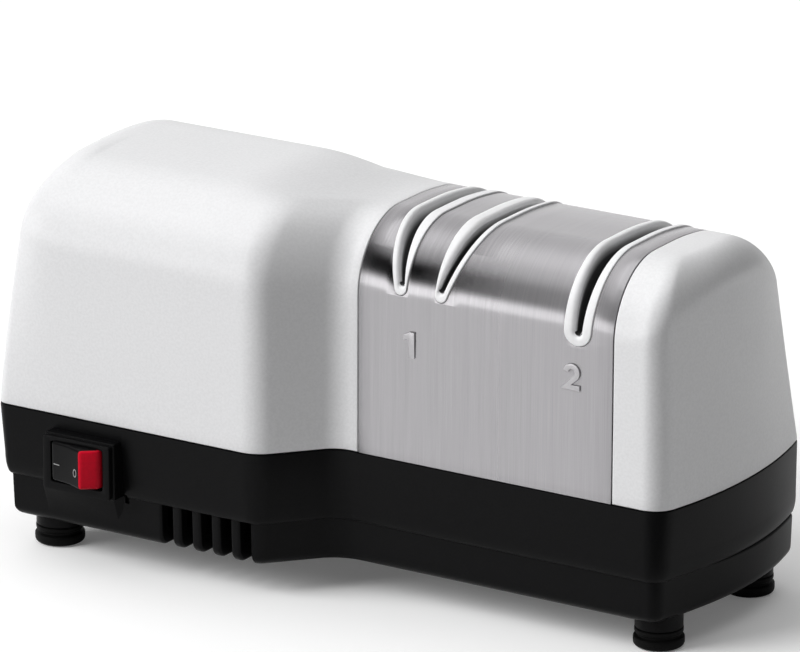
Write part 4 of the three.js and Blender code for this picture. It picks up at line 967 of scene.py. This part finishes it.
def switch_pad():
    """A raised field under the switch that fades out at its right end."""
    section = [(-51.6, 26.5), (-51.6, 19.3), (-49.3, 12.6), (-48.2, 12.6), (-48.2, 26.5)]
    faded = [(min(y + 2, -48.25), z) for y, z in section]
    rings = [(-82.7, section), (-60.4, section), (-58.0, faded)]
    return bevel(stacked("pad", [[(x, y, z) for y, z in row] for x, row in rings]), 0.3, 2)


tray = tray_shell()
boolean(tray, [block("door_bay", 10.6, 54.4, -12.8, 12.8, 0, 9.6)])
added = [switch_boss(), switch_pad(), rail(-1), rail(1)]
added.append(cylinder("gland_pad", 8.7, GLAND, 32.0, 36.9, "y", 64))
added += [cylinder(f"neck_{node}", 6.2, place, 5.2, 10.7, steps=64) for node, place in FEET.items()]
boolean(tray, added, "UNION")

cutters = []
for i, x in enumerate(VENTS):
    cutters.append(block(f"vent_{i}", x, x + VENT_WIDTH, -70, -FRONT_MOTOR + 9, -6, STEP))
    cutters.append(vent_flare(f"flare_{i}", x))
cutters.append(block("hatch", STAGE_ONE - 7.5, STAGE_ONE + 7.5, -7.5, 7.5, -6, SEAM))
opening = (BEZEL_X - 9.7, BEZEL_X + 9.7, -60, -38, SWITCH_Z - 6.5, SWITCH_Z + 6.5)
cutters.append(block("switch_hole", *opening))
cutters.append(block("notch", -58.0, -56.7, -54, -48.8, STEP - 1.9, STEP + 0.9))
cutters.append(cylinder("gland_hole", 5.9, GLAND, 26, 40, "y"))
for node, place in FEET.items():
    cutters.append(cylinder(f"bore_{node}", 2.3, place, 0, 16, steps=24))
for y in (-25, 25):
    cutters.append(cylinder(f"sink_{y}", 3.9, (45.3, y), 0, 11.3))
    cutters.append(cylinder(f"sink_bore_{y}", 2.3, (45.3, y), 0, 16, steps=24))
boolean(tray, cutters)
dress(smooth(tray, 32), "black_plastic", stands_for=["base_tray"])


# Feet and cord inlet, as loops of (radius, place along the axis)

FOOT_LOOP = [(3.6, 0), (5.5, 0)]
FOOT_LOOP += [(5.5 + 1.1 * math.sin(t), 1.1 - 1.1 * math.cos(t)) for t in np.radians([20, 40, 60, 80])]
FOOT_LOOP += [(6.6, 1.3), (6.6, 2.3), (6.45, 2.6), (6.15, 2.75), (5.75, 2.95), (5.7, 3.2)]
FOOT_LOOP += [(5.75, 3.5), (6.05, 3.7), (6.25, 3.85), (6.3, 4.1), (6.3, 4.7), (6.15, 4.9)]
FOOT_LOOP += [(2.0, 4.9), (2.0, 2.3), (3.6, 2.3)]
for node, place in FEET.items():
    dress(turned(f"{node}_pad", FOOT_LOOP, place), "black_rubber", stands_for=[node])

INLET_LOOP = [(3.8, 38.1), (3.8, 28.1), (5.6, 28.1), (5.6, 37.2), (7.4, 37.2), (7.4, 37.7)]
INLET_LOOP += [(7.3, 38.0), (7.1, 38.25), (6.8, 38.4), (4.6, 38.4), (4.1, 38.3)]
dress(turned("cord_inlet", INLET_LOOP, GLAND, "y", 72), "black_rubber", stands_for=["cord_gland"])


# Rocker switch

# Half sizes, corner radius and y of each ring, from the rear over the frame into the opening
BEZEL_BODY = [(9.4, 6.2, 0.5, -41.6), (9.4, 6.2, 0.5, -55.6)]
BEZEL_FRAME = [(10.4, 7.3, 0.9, -55.6), (10.4, 7.3, 0.9, -56.8)]
BEZEL_FRAME += [(10.28, 7.18, 0.8, -57.1), (10.0, 6.9, 0.6, -57.2)]
BEZEL_OPENING = [(8.35, 5.8, 0.8, -57.2), (8.15, 5.62, 0.7, -57.1)]
BEZEL_OPENING += [(8.1, 5.55, 0.6, -56.8), (8.1, 5.55, 0.6, -49.8)]


def bezel_rings(sizes, shift_x=0.0, shift_z=0.0):
    rings = []
    for half_x, half_z, radius, y in sizes:
        loop = rounded_rectangle(half_x, half_z, radius)
        rings.append([(BEZEL_X + shift_x + x, y, SWITCH_Z + shift_z + z) for x, z in loop])
    return rings


bezel = stacked("switch_bezel", bezel_rings(BEZEL_BODY + BEZEL_FRAME) + bezel_rings(BEZEL_OPENING, 0.15, 0.6))
dress(smooth(bezel, 40), "black_plastic", stands_for=["switch_housing"])

# The rocker seen from above as (x, y) from its pivot, with its face to the front
ROCKER = [(-6.3, 1.6), (-6.3, -2.2), (-4.9, -4.5), (0.6, -3.9), (6.1, -4.5), (9.1, -0.6), (9.1, 1.6)]
ROCKER_FACE = ROCKER[2:5]


def rocker_point(x, y, z):
    c, s = math.cos(ROCKER_TILT), math.sin(ROCKER_TILT)
    return (SWITCH_X + x * c - y * s, PIVOT_Y + x * s + y * c, SWITCH_Z + 0.9 + z)


rings = [[rocker_point(x, y, z) for x, y in ROCKER] for z in (-ROCKER_HALF, ROCKER_HALF)]
paddle = bevel(stacked("rocker_paddle", rings), 0.8, 4, 20)
pin_ends = (SWITCH_Z - ROCKER_HALF, SWITCH_Z + 7.1)
boolean(paddle, [cylinder("pin", 1.3, (SWITCH_X, PIVOT_Y), *pin_ends, steps=32)], "UNION")
dress(smooth(paddle, 40), "red_plastic", "rocker", ["rocker"])
paddle.data.materials.append(MATERIALS["black_plastic"])
across = Vector((math.cos(ROCKER_TILT), math.sin(ROCKER_TILT), 0))
for face in paddle.data.polygons:
    face.material_index = 0 if face.normal.dot(across) > 0.22 else 1


def mark(name, outer, inner=None):
    """A thin mark on the rocker's face from (x, z) points, with an optional hole."""
    loops = [outer] + ([inner] if inner else [])
    n = len(outer)
    points = []
    for lift in (0.03, 0.08):
        for loop in loops:
            for x, z in loop:
                face_y = float(np.interp(x, *zip(*ROCKER_FACE)))
                points.append(rocker_point(x, face_y - lift, z))
    per = n * len(loops)
    faces = []
    for base in (0, per):
        if inner:
            for i in range(n):
                k = (i + 1) % n
                faces.append((base + i, base + k, base + n + k, base + n + i))
        else:
            faces.append(tuple(base + i for i in range(n)))
    for start in range(0, per, n):
        for i in range(n):
            k = (i + 1) % n
            faces.append((start + i, start + k, per + start + k, per + start + i))
    return dress(face_out(made(name, points, faces)), "mark", "rocker")


def oval(x, z, half_x, half_z, steps=28):
    turns = [2 * math.pi * i / steps for i in range(steps)]
    return [(x + half_x * math.cos(t), half_z * math.sin(t) + z) for t in turns]


mark("rocker_mark_on", [(-4.1, -0.75), (-2.1, -0.75), (-2.1, -0.5), (-4.1, -0.5)])
mark("rocker_mark_off", oval(4.1, -1.2, 0.75, 1.1), oval(4.1, -1.2, 0.52, 0.86))


# Clean-out door, with ridges for a finger

DOOR_END = 36.0
door = bevel(block("clean_out_slide", 11.0, DOOR_END, -12.5, 12.5, 6.9, 9.3), 0.35, 3)
ridges = []
for i in range(4):
    x = DOOR_END - 2.6 * (i + 1)
    section = [(x - 0.6, 8.1), (x - 0.35, 5.75), (x + 0.35, 5.75), (x + 0.6, 8.1)]
    ridge = stacked(f"ridge_{i}", [[(a, y, z) for a, z in section] for y in (-10.3, 10.3)])
    ridges.append(bevel(ridge, 0.15, 2))
boolean(door, ridges, "UNION")
dress(smooth(door, 40), "black_plastic", "clean_out_door", ["clean_out_door"])


# Stage numbers, raised on the plate's front


def stroke(path, width):
    """Outline of a line of constant width."""
    left_side, right_side = [], []
    for i, (x, z) in enumerate(path):
        x0, z0 = path[max(i - 1, 0)]
        x1, z1 = path[min(i + 1, len(path) - 1)]
        a = Vector((x - x0, z - z0)) if i else Vector((x1 - x, z1 - z))
        b = Vector((x1 - x, z1 - z)) if i < len(path) - 1 else a
        a.normalize()
        b.normalize()
        mid = (a + b).normalized()
        reach = width / 2 / max(mid.dot(a), 0.45)
        left_side.append((x - mid.y * reach, z + mid.x * reach))
        right_side.append((x + mid.y * reach, z - mid.x * reach))
    return left_side + right_side[::-1]


def digit(name, x, z, loop):
    solid = stacked(name, [[(x + u, y, z + v) for u, v in loop] for y in (-36.55, -35.9)])
    return dress(smooth(bevel(solid, 0.18, 2), 40), "digit")


DIGITS_Z = 68.0
ONE = [(-0.1, 0), (1.7, 0), (1.7, 7), (0.3, 7), (-1.8, 5.9), (-1.8, 4.4), (-0.1, 5.1)]
digit("stage_digit_1", 20.4, DIGITS_Z, ONE)
turns = [math.radians(a) for a in range(172, -46, -12)]
curve = [(0.1 + 1.65 * math.cos(t), 4.6 + 1.65 * math.sin(t)) for t in turns]
digit("stage_digit_2", 68.2, DIGITS_Z, stroke(curve + [(-1.55, 0.75), (2.5, 0.75)], 1.5))


# Ground

GROUND, GROUND_Z = 2500, -0.15
# The third grey is the painted shade that reflections see on the ground
SEEN, UNSEEN, PAINTED_SHADE = 0.97, 0.33, 0.19
corners = [(-GROUND, -GROUND), (GROUND, -GROUND), (GROUND, GROUND), (-GROUND, GROUND)]
floor = made("floor", [(x, y, GROUND_Z) for x, y in corners], [(0, 1, 2, 3)])
mat, tree, shader = material("floor")
path = tree.nodes.new("ShaderNodeLightPath")
seen = path.outputs["Is Camera Ray"]
for ray in ("Is Glossy Ray", "Is Transmission Ray"):
    seen = calculated(tree, "MAXIMUM", seen, path.outputs[ray])
pale = ramp(tree, seen, [(0, UNSEEN), (1, SEEN)])
# Reflections see it darker to the front right, a painted shade that darkens what the body reflects there,
# over places in metres
place = tree.nodes.new("ShaderNodeNewGeometry")
axes = tree.nodes.new("ShaderNodeSeparateXYZ")
tree.links.new(place.outputs["Position"], axes.inputs[0])
ahead = calculated(tree, "MULTIPLY", axes.outputs["Y"], -1)
right_share = ramp(tree, axes.outputs["X"], [(0.06, 0), (0.12, 1)])
front_share = ramp(tree, ahead, [(0.02, 0), (0.07, 1)])
corner_share = mixed(tree, "MULTIPLY", right_share, front_share)
painted_shade = mixed(tree, "MIX", pale, PAINTED_SHADE, corner_share)
colour = mixed(tree, "MIX", pale, painted_shade, path.outputs["Is Glossy Ray"])
tree.links.new(colour, shader.inputs["Base Color"])
shader.inputs["Emission Color"].default_value = (1, 1, 1, 1)
glow = calculated(tree, "MULTIPLY", path.outputs["Is Camera Ray"], 0.1)
tree.links.new(glow, shader.inputs["Emission Strength"])
shader.inputs["Roughness"].default_value = 1
shader.inputs["Specular IOR Level"].default_value = 0
floor.data.materials.append(mat)


# Studio: even all round, dimmer to the right, with a dark gap and a low light box front left

studio = bpy.data.worlds.new("studio")
scene.world = studio
studio.use_nodes = True
tree = studio.node_tree
background = tree.nodes["Background"]
at = tree.nodes.new("ShaderNodeTexCoord")
axes = tree.nodes.new("ShaderNodeSeparateXYZ")
tree.links.new(at.outputs["Generated"], axes.inputs[0])


def over_height(*stops):
    """A ramp over how steeply a direction points up."""
    return ramp(tree, axes.outputs["Z"], stops)


def toward(x, y, z, *stops):
    """A ramp over how far a direction points along another one."""
    dot = tree.nodes.new("ShaderNodeVectorMath")
    dot.operation = "DOT_PRODUCT"
    dot.inputs[1].default_value = Vector((x, y, z)).normalized()
    tree.links.new(at.outputs["Generated"], dot.inputs[0])
    return ramp(tree, dot.outputs["Value"], stops)


def times(first, second):
    return mixed(tree, "MULTIPLY", first, second)


sky = over_height((0, 0.45), (0.2, 0.45), (0.7, 0.4), (1, 0.4))
left = toward(-1, 0, 0, (0, 0.22), (0.48, 1), (1, 0.62))
gap_height = over_height((0.16, 0), (0.3, 1), (0.58, 1), (0.76, 0))
gap = times(gap_height, toward(-0.5, -0.86, 0, (0.15, 0), (0.6, 1)))
no_gap = tree.nodes.new("ShaderNodeInvert")
tree.links.new(gap, no_gap.inputs["Color"])
box = times(over_height((0.14, 1), (0.24, 0)), toward(-0.52, -0.84, 0, (0.55, 0), (0.9, 0.5)))
light = mixed(tree, "ADD", times(times(sky, left), no_gap.outputs["Color"]), box)
tree.links.new(light, background.inputs["Color"])
background.inputs["Strength"].default_value = 2.15


def direction(azimuth, elevation):
    """Unit vector towards an azimuth to the right of the front and an elevation, in degrees."""
    a, e = math.radians(azimuth), math.radians(elevation)
    return Vector((math.sin(a) * math.cos(e), -math.cos(a) * math.cos(e), math.sin(e)))


def sun(name, azimuth, elevation, angle, level, glossy=False):
    """A soft distant lamp."""
    data = bpy.data.lights.new(name, "SUN")
    data.angle = math.radians(angle)
    data.energy = level * math.pi
    obj = bpy.data.objects.new(name, data)
    scene.collection.objects.link(obj)
    obj.matrix_world = direction(azimuth, elevation).to_track_quat("Z", "Y").to_matrix().to_4x4()
    obj.visible_glossy = glossy


sun("key", -42, 35, 40, 0.8)
sun("overhead", 0, 88, 60, 0.2, True)


# Camera, fitted to the photograph, with its place in metres

LENS = 315
DISTANCE = 1.85236
TARGET = Vector((-0.025, 0.03135 + AXIS_Y, 0.05))
data = bpy.data.cameras.new("camera")
data.sensor_width = 36
data.sensor_fit = "HORIZONTAL"
data.lens = LENS
data.clip_end = 20
camera = bpy.data.objects.new("camera", data)
scene.collection.objects.link(camera)
away = direction(32.25, 18.01)
facing = (-away).to_track_quat("-Z", "Y").to_matrix().to_4x4()
camera.matrix_world = Matrix.Translation(TARGET + away * DISTANCE) @ facing
scene.camera = camera
scene.view_settings.view_transform = "Standard"
